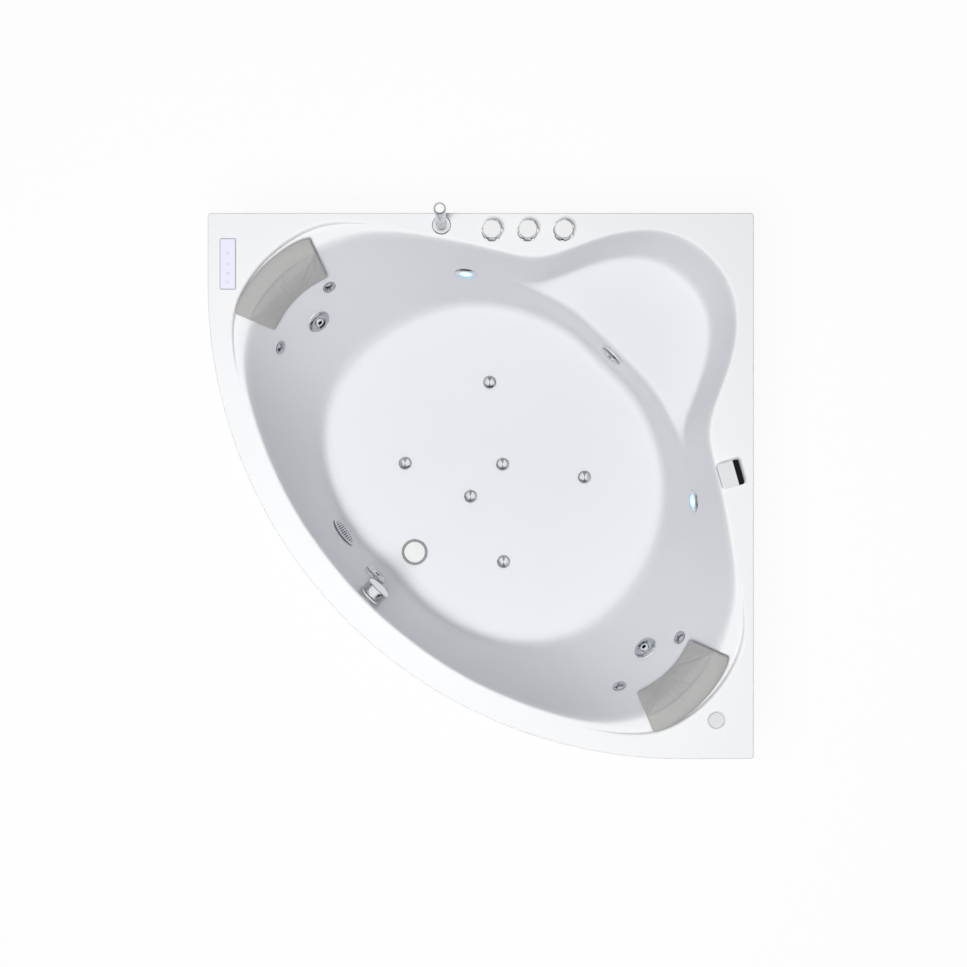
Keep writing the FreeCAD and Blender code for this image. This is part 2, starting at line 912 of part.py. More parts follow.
jet_places = {
    "left": wall_place(size.rear_jet_angle, "rear_jet", size.jet_flange_radius),
    "right": wall_place(-size.rear_jet_angle, "rear_jet", size.jet_flange_radius),
    "seat": wall_place(0, "seat_jet", size.jet_flange_radius),
    "front": wall_place(size.front_jet_angle, "front_jet", size.jet_flange_radius),
}
micro_places = [
    wall_place(side * angle, fitting, size.micro_flange_radius)
    for side in (1, -1)
    for angle, fitting in (
        (size.micro_upper_angle, "micro_upper"),
        (size.micro_lower_angle, "micro_lower"),
    )
]
light_places = [wall_place(side * size.light_angle, "light", size.light_flange_radius) for side in (1, -1)]
suction_place = wall_place(size.suction_angle, "suction", size.suction_flange_radius)
overflow_place = wall_place(outline_angles[-1], "overflow", size.overflow_flange_radius)

diagonal_share = math.sqrt(0.5)
floor_jet_places = [
    floor_place(east, north)
    for east, north in (
        (0, size.floor_jet_back),
        (size.floor_jet_back, 0),
        (-size.floor_jet_side_out, size.floor_jet_side_up),
        (size.floor_jet_side_up, -size.floor_jet_side_out),
        (size.floor_jet_axis_back * diagonal_share, size.floor_jet_axis_back * diagonal_share),
        (-size.floor_jet_axis_front * diagonal_share, -size.floor_jet_axis_front * diagonal_share),
    )
]
drain_side = -size.drain_reach * diagonal_share
drain_place = floor_place(drain_side, drain_side, size.spot_depth)

tap_turns = {"hot": 0, "cold": 0, "diverter": size.tap_third_turn}
tap_places = {
    name: deck_place(size.tap_middle + (index - 1) * size.tap_spacing, half_side - size.tap_inset, turn)
    for index, (name, turn) in enumerate(tap_turns.items())
}
shower_place = deck_place(size.shower_place, half_side - size.shower_inset)
spout_place = deck_place(half_side - size.spout_inset, size.spout_place, size.spout_turn)
air_place = deck_place(half_side - size.air_inset_side, size.air_inset_front - half_side)
panel_place = deck_place(size.panel_inset_side - half_side, half_side - size.panel_inset_back)


def hole_tool(placement, radius):
    length = size.skin + 2 * size.overrun
    tool = Part.makeCylinder(radius + size.hole_clearance, length, Vector(0, 0, -size.skin - size.overrun))
    tool.Placement = placement
    return tool


def spot_face_tool(placement, radius):
    tool = Part.makeCylinder(radius + size.hole_clearance, size.overrun)
    tool.Placement = placement
    return tool


def panel_tray_tool(gap):
    width = size.panel_width - 2 * size.panel_flange_width + 2 * gap
    length = size.panel_length - 2 * size.panel_flange_width + 2 * gap
    tool = Part.makeBox(width, length, size.skin + 2 * size.overrun)
    tool.translate(Vector(-width / 2, -length / 2, -size.skin - size.overrun))
    tool.Placement = panel_place.multiply(tool.Placement)
    return tool


def shell_holes():
    wall_fittings = [(place, size.jet_barrel_radius, size.jet_flange_radius) for place in jet_places.values()]
    wall_fittings += [(place, size.micro_barrel_radius, size.micro_flange_radius) for place in micro_places]
    wall_fittings += [(place, size.light_barrel_radius, size.light_flange_radius) for place in light_places]
    wall_fittings.append((suction_place, size.suction_barrel_radius, size.suction_flange_radius))
    wall_fittings.append((overflow_place, size.overflow_barrel_radius, size.overflow_flange_radius))
    tools = []
    for place, barrel, flange in wall_fittings:
        tools.append(hole_tool(place, barrel).fuse(spot_face_tool(place, flange)))
    tools += [hole_tool(place, size.tap_hole_radius) for place in tap_places.values()]
    tools.append(hole_tool(shower_place, size.holder_barrel_radius))
    tools.append(hole_tool(spout_place, size.spout_tail_radius))
    tools.append(hole_tool(air_place, size.air_barrel_radius))
    tools.append(panel_tray_tool(size.hole_clearance))
    tools += [hole_tool(place, size.floor_jet_barrel_radius) for place in floor_jet_places]
    drain_seat = spot_face_tool(drain_place, size.drain_flange_radius)
    tools.append(hole_tool(drain_place, size.drain_neck_radius).fuse(drain_seat))
    return tools


node("tub_shell", shell_blank().cut(shell_holes()))


# Main jets: a body clamped through the wall, a trim ring that turns and a nozzle that swivels.
jet_body = turned(
    "jet_body",
    (
        ("jet_throat_radius", "-(jet_barrel_length + jet_tail_length)"),
        ("jet_tail_radius", "-(jet_barrel_length + jet_tail_length)"),
        ("jet_tail_radius", "-jet_barrel_length"),
        ("jet_barrel_radius", "-jet_barrel_length"),
        ("jet_barrel_radius", "0"),
        ("jet_flange_radius", "0"),
        ("jet_flange_radius", "jet_flange_thickness"),
        ("jet_bore_radius", "jet_flange_thickness"),
        ("jet_bore_radius", "-jet_bore_depth"),
        ("jet_throat_radius", "-jet_bore_depth"),
    ),
)
ring_back = "jet_flange_thickness + running_gap"
ring_edge_radius = "jet_flange_radius - running_gap"
ring_blank = turned(
    "jet_ring_blank",
    (
        ("jet_seat_radius", "-jet_ring_sleeve"),
        ("jet_bore_radius - running_gap", "-jet_ring_sleeve"),
        ("jet_bore_radius - running_gap", ring_back),
        (ring_edge_radius, ring_back),
        (ring_edge_radius, ring_back + " + jet_ring_edge"),
        (ring_edge_radius + " - jet_ring_crown", ring_back + " + jet_ring_height", "jet_ring_crown * 1.4"),
        ("jet_mouth_radius", ring_back + " + jet_ring_height"),
        ("jet_seat_radius", ring_back + " + jet_ring_height - jet_mouth_depth"),
    ),
)


def scalloped(body, name, reach, radius, count):
    """Cut finger scallops evenly round the edge of a turned body."""
    sketch = body.newObject("Sketcher::SketchObject", "Sketch_" + name)
    sketch.AttachmentSupport = [(origin_plane(body, "XY_Plane"), "")]
    sketch.MapMode = "FlatFace"
    centre = Vector(worked(reach), 0, 0)
    sketch.addGeometry(Part.Circle(centre, Vector(0, 0, 1), worked(radius)))
    sketch.addConstraint(Sketcher.Constraint("PointOnObject", 0, 3, -1))
    for constraint, formula in (
        (Sketcher.Constraint("DistanceX", -1, 1, 0, 3, worked(reach)), reach),
        (Sketcher.Constraint("Radius", 0, worked(radius)), radius),
    ):
        place = sketch.addConstraint(constraint)
        sketch.setExpression(f"Constraints[{place}]", bound(formula))
    pocket = body.newObject("PartDesign::Pocket", "Pocket_" + name)
    pocket.Profile = sketch
    pocket.Type = "ThroughAll"
    pocket.SideType = "Symmetric"
    doc.recompute()
    pattern = body.newObject("PartDesign::PolarPattern", "Pattern_" + name)
    pattern.Originals = [pocket]
    pattern.Axis = (sketch, ["N_Axis"])
    pattern.Angle = 360
    pattern.Occurrences = count
    body.Tip = pattern
    doc.recompute()


scallop_count = 12
scalloped(
    ring_blank,
    "jet_scallops",
    ring_edge_radius + " + jet_scallop_radius - jet_scallop_depth",
    "jet_scallop_radius",
    scallop_count,
)
jet_socket = ball("jet_socket", "jet_ball_radius + running_gap", "-jet_ball_inset")
jet_ring = cut("jet_ring", ring_blank, jet_socket)
jet_ball = ball("jet_ball", "jet_ball_radius", "-jet_ball_inset")
jet_ball.setExpression("Angle1", bound("-jet_ball_cut"))
jet_ball.setExpression("Angle2", bound("jet_ball_cut"))
jet_bore = rod("jet_bore", "jet_nozzle_bore", "2 * jet_ball_radius + 2 * overrun", "-(jet_ball_radius + overrun)")
jet_nozzle = cut("jet_nozzle", jet_ball, jet_bore)
group("main_jet_bodies", [placed_shape(jet_body, place) for place in jet_places.values()])
for name, place in jet_places.items():
    node("jet_ring_" + name, jet_ring.Shape, place)
    node("jet_nozzle_" + name, jet_nozzle.Shape, place)

# Micro jets: a small body through the wall with a domed face pushed into it.
micro_body = turned(
    "micro_body",
    (
        ("micro_bore_radius", "-(micro_barrel_length + micro_tail_length)"),
        ("micro_tail_radius", "-(micro_barrel_length + micro_tail_length)"),
        ("micro_tail_radius", "-micro_barrel_length"),
        ("micro_barrel_radius", "-micro_barrel_length"),
        ("micro_barrel_radius", "0"),
        ("micro_flange_radius", "0"),
        ("micro_flange_radius", "micro_flange_thickness"),
        ("micro_recess_radius", "micro_flange_thickness"),
        ("micro_recess_radius", "micro_flange_thickness - micro_recess_depth"),
        ("micro_bore_radius", "micro_flange_thickness - micro_recess_depth"),
    ),
)
micro_face = turned(
    "micro_face",
    (
        ("micro_bore_radius", "micro_flange_thickness - micro_recess_depth"),
        ("micro_recess_radius - running_gap", "micro_flange_thickness - micro_recess_depth"),
        ("micro_recess_radius - running_gap", "micro_flange_thickness"),
        ("micro_face_radius", "micro_flange_thickness"),
        ("micro_bore_radius", "micro_flange_thickness + micro_face_height", "1.2 * micro_face_radius"),
    ),
)
group("micro_jet_bodies", [placed_shape(micro_body, place) for place in micro_places])
group("micro_jet_faces", [placed_shape(micro_face, place) for place in micro_places])

# Underwater lights: a chromed bezel and cup with a domed lens.
light_housing = turned(
    "light_housing",
    (
        ("0", "-light_barrel_length"),
        ("light_barrel_radius", "-light_barrel_length"),
        ("light_barrel_radius", "0"),
        ("light_flange_radius", "0"),
        ("light_flange_radius", "light_flange_edge"),
        ("light_lens_radius + running_gap", "light_flange_thickness", "2 * light_flange_thickness"),
        ("light_lens_radius + running_gap", "-light_lens_seat"),
        ("light_cup_radius", "-light_lens_seat"),
        ("light_cup_radius", "-light_cup_depth"),
        ("0", "-light_cup_depth"),
    ),
)
light_lens = turned(
    "light_lens",
    (
        ("0", "-light_lens_seat"),
        ("light_lens_radius", "-light_lens_seat"),
        ("light_lens_radius", "light_lens_crown"),
        ("0", "2 * light_lens_crown", dome("light_lens_radius", "light_lens_crown")),
    ),
)
group("light_housings", [placed_shape(light_housing, place) for place in light_places])
group("light_lenses", [placed_shape(light_lens, place) for place in light_places])

# Suction fitting: a body through the wall, and a domed grille with upright slits.
suction_body = turned(
    "suction_body_blank",
    (
        ("suction_bore_radius", "-(suction_barrel_length + suction_tail_length)"),
        ("suction_tail_radius", "-(suction_barrel_length + suction_tail_length)"),
        ("suction_tail_radius", "-suction_barrel_length"),
        ("suction_barrel_radius", "-suction_barrel_length"),
        ("suction_barrel_radius", "0"),
        ("suction_flange_radius", "0"),
        ("suction_flange_radius", "suction_flange_thickness"),
        ("suction_bore_radius", "suction_flange_thickness"),
    ),
)
grille_dome = turned(
    "grille_dome",
    (
        ("0", "suction_flange_thickness + suction_grille_height - suction_grille_wall"),
        ("suction_flange_radius - suction_grille_wall", "suction_flange_thickness + suction_grille_edge"),
        ("suction_flange_radius - suction_grille_wall", "suction_flange_thickness"),
        ("suction_flange_radius", "suction_flange_thickness"),
        ("suction_flange_radius", "suction_flange_thickness + suction_grille_edge"),
        (
            "0",
            "suction_flange_thickness + suction_grille_height",
            dome("suction_flange_radius", "suction_grille_height - suction_grille_edge"),
        ),
    ),
)


def slit_grille():
    slits = []
    reach = size.suction_flange_radius - size.suction_grille_wall - size.suction_slit_bridge
    count = int(reach / size.suction_slit_pitch)
    for step in range(-count, count + 1):
        across = step * size.suction_slit_pitch
        length = math.sqrt(max(reach**2 - across**2, 0))
        for side in (1, -1):
            rise = length - size.suction_slit_bridge / 2
            if rise < size.suction_slit_bridge:
                continue
            slit = Part.makeBox(size.suction_slit_width, rise, size.overrun)
            low = size.suction_slit_bridge / 2 if side > 0 else -size.suction_slit_bridge / 2 - rise
            slit.translate(Vector(across - size.suction_slit_width / 2, low, size.suction_flange_thickness))
            slits.append(slit)
    return grille_dome.Shape.cut(slits)


node("suction_body", suction_body.Shape, suction_place)
node("suction_grille", slit_grille(), suction_place)

# Overflow: a body through the front wall and the knob that works the waste plug.
overflow_body = turned(
    "overflow_body_blank",
    (
        ("0", "-(overflow_barrel_length + overflow_tail_length)"),
        ("overflow_tail_radius", "-(overflow_barrel_length + overflow_tail_length)"),
        ("overflow_tail_radius", "-overflow_barrel_length"),
        ("overflow_barrel_radius", "-overflow_barrel_length"),
        ("overflow_barrel_radius", "0"),
        ("overflow_flange_radius", "0"),
        ("overflow_flange_radius", "overflow_flange_thickness"),
        ("overflow_hub_radius", "overflow_flange_thickness"),
        ("overflow_hub_radius", "overflow_flange_thickness + overflow_hub_height"),
        ("overflow_spindle_radius + spindle_clearance", "overflow_flange_thickness + overflow_hub_height"),
        ("overflow_spindle_radius + spindle_clearance", "-(overflow_spindle_length + running_gap)"),
        ("0", "-(overflow_spindle_length + running_gap)"),
    ),
)
knob_back = "overflow_flange_thickness + overflow_hub_height + running_gap"
overflow_knob = turned(
    "overflow_knob_blank",
    (
        ("0", "-overflow_spindle_length"),
        ("overflow_spindle_radius", "-overflow_spindle_length"),
        ("overflow_spindle_radius", knob_back),
        ("overflow_knob_radius", knob_back),
        ("overflow_knob_radius", knob_back + " + overflow_knob_length - overflow_knob_round"),
        (
            "overflow_knob_radius - overflow_knob_round",
            knob_back + " + overflow_knob_length",
            "overflow_knob_round",
        ),
        ("0", knob_back + " + overflow_knob_length"),
    ),
)
node("overflow_body", overflow_body.Shape, overflow_place)
node("overflow_knob", overflow_knob.Shape, overflow_place)

# Floor air jets: a body through the floor and a mushroom cap on a stalk.
floor_jet_body = turned(
    "floor_jet_body",
    (
        ("0", "-(skin + floor_jet_barrel_length + floor_jet_tail_length)"),
        ("floor_jet_tail_radius", "-(skin + floor_jet_barrel_length + floor_jet_tail_length)"),
        ("floor_jet_tail_radius", "-(skin + floor_jet_barrel_length)"),
        ("floor_jet_barrel_radius", "-(skin + floor_jet_barrel_length)"),
        ("floor_jet_barrel_radius", "0"),
        ("floor_jet_flange_radius", "0"),
        ("floor_jet_flange_radius", "floor_jet_flange_thickness"),
        ("floor_jet_bore_radius + running_gap", "floor_jet_flange_thickness"),
        ("floor_jet_bore_radius + running_gap", "-floor_jet_bore_depth"),
        ("0", "-floor_jet_bore_depth"),
    ),
)
cap_base = "floor_jet_flange_thickness + floor_jet_cap_lift"
floor_jet_cap = turned(
    "floor_jet_cap",
    (
        ("0", "floor_jet_flange_thickness - floor_jet_stalk_length"),
        ("floor_jet_bore_radius", "floor_jet_flange_thickness - floor_jet_stalk_length"),
        ("floor_jet_bore_radius", cap_base),
        ("floor_jet_cap_radius", cap_base),
        ("floor_jet_cap_radius", cap_base + " + floor_jet_cap_edge"),
        (
            "0",
            cap_base + " + floor_jet_cap_height",
            dome("floor_jet_cap_radius", "floor_jet_cap_height - floor_jet_cap_edge"),
        ),
    ),
)
group("floor_jet_bodies", [placed_shape(floor_jet_body, place) for place in floor_jet_places])
group("floor_jet_caps", [placed_shape(floor_jet_cap, place) for place in floor_jet_places])

# Waste: a flanged outlet with a spider hub, the lifting plug, and the trap with its two pipes.
drain_ring = turned(
    "drain_ring",
    (
        ("drain_bore_radius", "-drain_neck_length"),
        ("drain_neck_radius", "-drain_neck_length"),
        ("drain_neck_radius", "0"),
        ("drain_flange_radius", "0"),
        ("drain_flange_radius", "drain_flange_thickness"),
        ("drain_recess_radius", "drain_flange_thickness"),
        ("drain_recess_radius", "drain_flange_thickness - drain_recess_depth"),
        ("drain_bore_radius", "drain_flange_thickness - drain_recess_depth"),
    ),
)
hub_foot = "-drain_neck_length"
drain_ribs = [
    block(
        "drain_rib_" + name,
        length,
        width,
        "drain_hub_length",
        ("-(" + length + ") / 2", "-(" + width + ") / 2", hub_foot),
    )
    for name, length, width in (
        ("east", "drain_bore_radius + drain_neck_radius", "drain_rib"),
        ("north", "drain_rib", "drain_bore_radius + drain_neck_radius"),
    )
]
drain_hub = rod("drain_hub", "drain_hub_radius", "drain_hub_length", hub_foot)
drain_spider = fused("drain_spider", [drain_ring, *drain_ribs, drain_hub])
stem_bore = rod(
    "stem_bore",
    "plug_stem_radius + spindle_clearance",
    "drain_hub_length + 2 * overrun",
    hub_foot + " - overrun",
)
drain_flange = cut("drain_flange_blank", drain_spider, stem_bore)
plug_base = "drain_flange_thickness - drain_recess_depth + running_gap"
drain_plug = turned(
    "drain_plug_blank",
    (
        ("0", "-plug_stem_length"),
        ("plug_stem_radius", "-plug_stem_length"),
        ("plug_stem_radius", plug_base),
        ("drain_recess_radius - running_gap", plug_base),
        ("drain_recess_radius - running_gap", plug_base + " + plug_thickness"),
        (
            "0",
            plug_base + " + plug_thickness + plug_crown",
            dome("drain_recess_radius - running_gap", "plug_crown"),
        ),
    ),
)
node("drain_flange", drain_flange.Shape, drain_place)
node("drain_plug", drain_plug.Shape, drain_place)


def waste_trap():
    """A bottle trap under the outlet, the pipe to the back wall and the overflow's down pipe."""
    centre = Vector(drain_place.Base.x, drain_place.Base.y, 0)
    top = floor_height - size.skin - size.trap_top_gap
    cup = Part.makeCylinder(size.trap_radius, top - size.trap_bottom, centre + Vector(0, 0, size.trap_bottom))
    hollow = Part.makeCylinder(
        size.drain_neck_radius + size.hole_clearance,
        top - size.trap_bottom,
        centre + Vector(0, 0, size.trap_bottom + size.trap_wall),
    )
    level = Vector(0, 0, waste_pipe_height)
    wall_end = Vector(centre.x, half_side - size.waste_pipe_end_inset, 0) + level
    reach = wall_end.y - centre.y
    outlet = Part.makeCylinder(size.waste_pipe_radius, reach, centre + level, Vector(0, 1, 0))
    outlet_bore = Part.makeCylinder(size.waste_pipe_bore, reach, centre + level, Vector(0, 1, 0))
    rail_face = half_side - size.frame_inset - size.tube_side / 2
    collar_start = Vector(centre.x, rail_face - size.hole_clearance - size.waste_collar_length, 0) + level
    collar = Part.makeCylinder(
        size.waste_collar_radius, size.waste_collar_length, collar_start, Vector(0, 1, 0)
    )
    tail_end = overflow_place.multVec(Vector(0, 0, -size.overflow_barrel_length - size.overflow_tail_length))
    elbow = overflow_place.multVec(
        Vector(0, 0, -size.overflow_barrel_length - size.overflow_tail_length - size.overflow_pipe_setback)
    )
    foot = Vector(elbow.x, elbow.y, waste_pipe_height)
    down_pipe = elbowed([tail_end, elbow, foot, centre + level], size.overflow_pipe_radius)
    return cup.fuse([outlet, collar, *down_pipe]).cut([hollow, outlet_bore]).removeSplitter()


node("waste_trap", waste_trap())

# Taps: a chromed collar on the deck, a lugged knob on a spindle and the valve under the deck.
escutcheon = turned(
    "escutcheon",
    (
        ("knob_stem_radius + hole_clearance", "0"),
        ("escutcheon_radius", "0"),
        ("escutcheon_radius", "escutcheon_height - escutcheon_round"),
        ("escutcheon_radius - escutcheon_round", "escutcheon_height", "escutcheon_round"),
        ("knob_stem_radius + hole_clearance", "escutcheon_height"),
    ),
)
knob_base = "escutcheon_height + knob_gap"
tap_knob = turned(
    "tap_knob",
    (
        ("0", "-knob_stem_length"),
        ("knob_stem_radius", "-knob_stem_length"),
        ("knob_stem_radius", knob_base),
        ("knob_collar_radius", knob_base),
        ("knob_collar_radius", knob_base + " + knob_collar_height"),
        ("knob_waist_radius", knob_base + " + knob_waist_height"),
        ("knob_waist_radius", knob_base + " + knob_cap_start"),
        ("knob_cap_radius", knob_base + " + knob_cap_start"),
        ("knob_cap_radius", knob_base + " + knob_cap_top - knob_cap_round"),
        ("knob_cap_radius - knob_cap_round", knob_base + " + knob_cap_top", "knob_cap_round"),
        ("0", knob_base + " + knob_cap_top"),
    ),
)
lug_count = 6
lug_sketch = new_sketch(
    tap_knob,
    "knob_lug",
    "XY_Plane",
    (
        ("knob_waist_radius - knob_lug_width / 2", "-knob_lug_width / 2"),
        ("knob_lug_reach - knob_lug_width / 4", "-knob_lug_width / 2"),
        ("knob_lug_reach - knob_lug_width / 4", "knob_lug_width / 2", "0.65 * knob_lug_width"),
        ("knob_waist_radius - knob_lug_width / 2", "knob_lug_width / 2"),
    ),
)
lug_sketch.setExpression("AttachmentOffset.Base.z", bound(knob_base))
lug = tap_knob.newObject("PartDesign::Pad", "Pad_knob_lug")
lug.Profile = lug_sketch
lug.setExpression("Length", bound("knob_lug_height"))
doc.recompute()
lugs = tap_knob.newObject("PartDesign::PolarPattern", "Pattern_knob_lugs")
lugs.Originals = [lug]
lugs.Axis = (lug_sketch, ["N_Axis"])
lugs.Angle = 360
lugs.Occurrences = lug_count
tap_knob.Tip = lugs
doc.recompute()
valve_barrel = turned(
    "valve_barrel",
    (
        ("0", "-(valve_barrel_length + valve_block_height / 2)"),
        ("tap_hole_radius", "-(valve_barrel_length + valve_block_height / 2)"),
        ("tap_hole_radius", "0"),
        ("knob_stem_radius + spindle_clearance", "0"),
        ("knob_stem_radius + spindle_clearance", "-(knob_stem_length + running_gap)"),
        ("0", "-(knob_stem_length + running_gap)"),
    ),
)
valve_foot = "-(valve_barrel_length + valve_block_height)"
valve_block = block(
    "valve_block",
    "valve_block",
    "valve_block",
    "valve_block_height",
    ("-valve_block / 2", "-valve_block / 2", valve_foot),
)
valve_tail = rod(
    "valve_tail",
    "valve_tail_radius",
    "valve_tail_length + valve_block_height / 2",
    valve_foot + " - valve_tail_length",
)
tap_valve = fused("tap_valve", [valve_barrel, valve_block, valve_tail])
group("tap_escutcheons", [placed_shape(escutcheon, place) for place in tap_places.values()])
for name, place in tap_places.items():
    node(name + "_knob", tap_knob.Shape, place)
upright = FreeCAD.Rotation()
valve_places = [FreeCAD.Placement(place.Base, upright) for place in tap_places.values()]
group("tap_valves", [placed_shape(tap_valve, place) for place in valve_places])


def mixer_pipes():
    """Short pipes between the valves, and the long one round the corner to the spout."""
    depth = size.valve_barrel_length + size.valve_block_height / 2
    half_block = Vector(size.valve_block / 2, 0, 0)
    ports = [place.Base - Vector(0, 0, depth) for place in valve_places]
    pieces = []
    for left, right in zip(ports, ports[1:]):
        run = right - left - half_block * 2
        start = left + half_block
        tube = Part.makeCylinder(size.mixer_pipe_radius, run.Length, start, Vector(1, 0, 0))
        pieces.append(tube)
    near_wall = half_side - size.mixer_pipe_inset
    level = ports[-1].z
    spout_foot = spout_place.multVec(Vector(0, 0, -size.spout_tail_length))
    route = [
        ports[-1] + half_block,
        ports[-1] + half_block * 2,
        Vector(ports[-1].x + 2 * size.valve_block, near_wall, level),
        Vector(near_wall, near_wall, level),
        Vector(near_wall, spout_foot.y + 2 * size.spout_width, level),
        Vector(spout_foot.x, spout_foot.y, level - size.valve_block),
        spout_foot,
    ]
    pieces.append(pipe(route, size.mixer_pipe_radius, 2 * size.mixer_pipe_radius))
    return pieces


group("mixer_pipes", mixer_pipes())

# Hand shower: a tapered stick that leans in its deck holder and lifts out along its own axis.
shower_lean = FreeCAD.Placement(Vector(0, 0, 0), FreeCAD.Rotation(Vector(1, 0, 0), -size.shower_tilt))
holder_base = turned(
    "holder_base",
    (
        ("0", "-holder_barrel_length"),
        ("holder_barrel_radius", "-holder_barrel_length"),
        ("holder_barrel_radius", "0"),
        ("holder_flange_radius", "0"),
        ("holder_flange_radius", "holder_flange_height / 2"),
        ("holder_cup_radius", "holder_flange_height", "2 * holder_flange_height"),
        ("0", "holder_flange_height"),
    ),
)
holder_cup = rod("holder_cup", "holder_cup_radius", "holder_cup_height", "0")
holder_bore = rod(
    "holder_bore",
    "shower_tail_radius + running_gap",
    "holder_barrel_length + holder_cup_height + 2 * overrun",
    "-(holder_barrel_length + overrun)",
)
holder = holder_base.Shape.fuse(placed_shape(holder_cup, shower_lean)).cut(placed_shape(holder_bore, shower_lean))
shoulder = "holder_cup_height + running_gap"
hand_shower = turned(
    "hand_shower_blank",
    (
        ("0", "-shower_tail_length"),
        ("shower_tail_radius", "-shower_tail_length"),
        ("shower_tail_radius", shoulder),
        ("shower_shoulder_radius", shoulder),
        ("shower_waist_radius", "shower_waist_height"),
        ("shower_head_radius", "shower_head_start"),
        ("shower_head_radius", "shower_head_edge"),
        ("shower_head_radius - (shower_top - shower_head_edge)", "shower_top", "shower_top - shower_head_edge"),
        ("0", "shower_top"),
    ),
)
node("shower_holder", holder, shower_place)
node("hand_shower", hand_shower.Shape, shower_place.multiply(shower_lean))


# Waterfall spout: a chromed block with a wide mouth over the basin and a dark strip on its top.
def rounded_rectangle(width, length, corner):
    east, north = f"({width}) / 2", f"({length}) / 2"
    return (
        (f"-{east} + ({corner})", f"-{north}", corner),
        (f"{east} - ({corner})", f"-{north}"),
        (east, f"-{north} + ({corner})", corner),
        (east, f"{north} - ({corner})"),
        (f"{east} - ({corner})", north, corner),
        (f"-{east} + ({corner})", north),
        (f"-{east}", f"{north} - ({corner})", corner),
        (f"-{east}", f"-{north} + ({corner})"),
    )


def rounded_plate(name, width, length, corner, thickness):
    return padded_plate(name, rounded_rectangle(width, length, corner), thickness)


spout_block = rounded_plate("spout_block", "spout_depth", "spout_width", "spout_corner", "spout_height")
spout_slot = block(
    "spout_slot",
    "spout_slot_depth + overrun",
    "spout_slot_width",
    "spout_slot_height",
    ("-(spout_depth / 2 + overrun)", "-spout_slot_width / 2", "spout_slot_rise"),
)
strip_start = "spout_depth / 2 - spout_strip_width"
spout_step = block(
    "spout_step",
    "spout_strip_width + overrun",
    "spout_width + 2 * overrun",
    "spout_strip_depth + overrun",
    (strip_start, "-(spout_width / 2 + overrun)", "spout_height - spout_strip_depth"),
)
spout_tail = rod("spout_tail", "spout_tail_radius", "spout_tail_length + spout_slot_rise / 2", "-spout_tail_length")
spout_cut = cut("spout_cut", cut("spout_open", spout_block, spout_slot), spout_step)
spout = fused("spout_blank", [spout_cut, spout_tail])
spout_strip = padded_plate(
    "spout_strip",
    (
        (strip_start + " + running_gap", "-spout_width / 2"),
        ("spout_depth / 2 - spout_corner", "-spout_width / 2"),
        ("spout_depth / 2", "spout_corner - spout_width / 2", "spout_corner"),
        ("spout_depth / 2", "spout_width / 2 - spout_corner"),
        ("spout_depth / 2 - spout_corner", "spout_width / 2", "spout_corner"),
        (strip_start + " + running_gap", "spout_width / 2"),
    ),
    "spout_strip_depth",
)
strip_seat = Vector(0, 0, size.spout_height - size.spout_strip_depth)
node("waterfall_spout", spout.Shape, spout_place)
node("spout_insert", spout_strip.Shape.translated(strip_seat), spout_place)

# Air regulator: a body through the deck with a cap that turns.
air_body = turned(
    "air_body",
    (
        ("0", "-air_barrel_length"),
        ("air_barrel_radius", "-air_barrel_length"),
        ("air_barrel_radius", "0"),
        ("air_flange_radius", "0"),
        ("air_flange_radius", "air_flange_thickness"),
        ("air_recess_radius", "air_flange_thickness"),
        ("air_recess_radius", "air_flange_thickness - air_recess_depth"),
        ("air_stem_radius + spindle_clearance", "air_flange_thickness - air_recess_depth"),
        ("air_stem_radius + spindle_clearance", "-(air_stem_length + running_gap)"),
        ("0", "-(air_stem_length + running_gap)"),
    ),
)
air_cap_base = "air_flange_thickness - air_recess_depth + running_gap"
air_cap = turned(
    "air_cap",
    (
        ("0", "-air_stem_length"),
        ("air_stem_radius", "-air_stem_length"),
        ("air_stem_radius", air_cap_base),
        ("air_cap_radius", air_cap_base),
        ("air_cap_radius", "air_cap_height - air_cap_round"),
        ("air_cap_radius - air_cap_round", "air_cap_height", "air_cap_round"),
        ("0", "air_cap_height"),
    ),
)
node("air_control_body", air_body.Shape, air_place)
node("air_control_cap", air_cap.Shape, air_place)

# Touch control panel: a tray let into the deck, with a glass face in its flange.
panel_flange = rounded_plate(
    "panel_flange", "panel_width", "panel_length", "panel_corner", "panel_flange_thickness"
)
panel_tray = block(
    "panel_tray",
    "panel_width - 2 * panel_flange_width",
    "panel_length - 2 * panel_flange_width",
    "panel_tray_depth + panel_flange_thickness / 2",
    (
        "panel_flange_width - panel_width / 2",
        "panel_flange_width - panel_length / 2",
        "-panel_tray_depth",
    ),
)
panel_recess = rounded_plate(
    "panel_recess",
    "panel_width - 2 * panel_border",
    "panel_length - 2 * panel_border",
    "panel_corner - panel_border",
    "panel_glass_depth + overrun",
)
panel_recess.setExpression("Placement.Base.z", bound("panel_flange_thickness - panel_glass_depth"))
panel_glass = rounded_plate(
    "panel_glass",
    "panel_width - 2 * panel_border - 2 * running_gap",
    "panel_length - 2 * panel_border - 2 * running_gap",
    "panel_corner - panel_border - running_gap",
    "panel_glass_depth + panel_glass_rise",
)
panel_glass.setExpression("Placement.Base.z", bound("panel_flange_thickness - panel_glass_depth"))
doc.recompute()
panel_housing = cut("panel_housing", fused("panel_blank", [panel_flange, panel_tray]), panel_recess)
node("control_panel_housing", panel_housing.Shape, panel_place)
node("control_panel_glass", panel_glass.Shape, panel_place)


# Lock nuts under the deck and behind the basin wall.
def shifted(place, height):
    return place.multiply(FreeCAD.Placement(Vector(0, 0, height), FreeCAD.Rotation()))


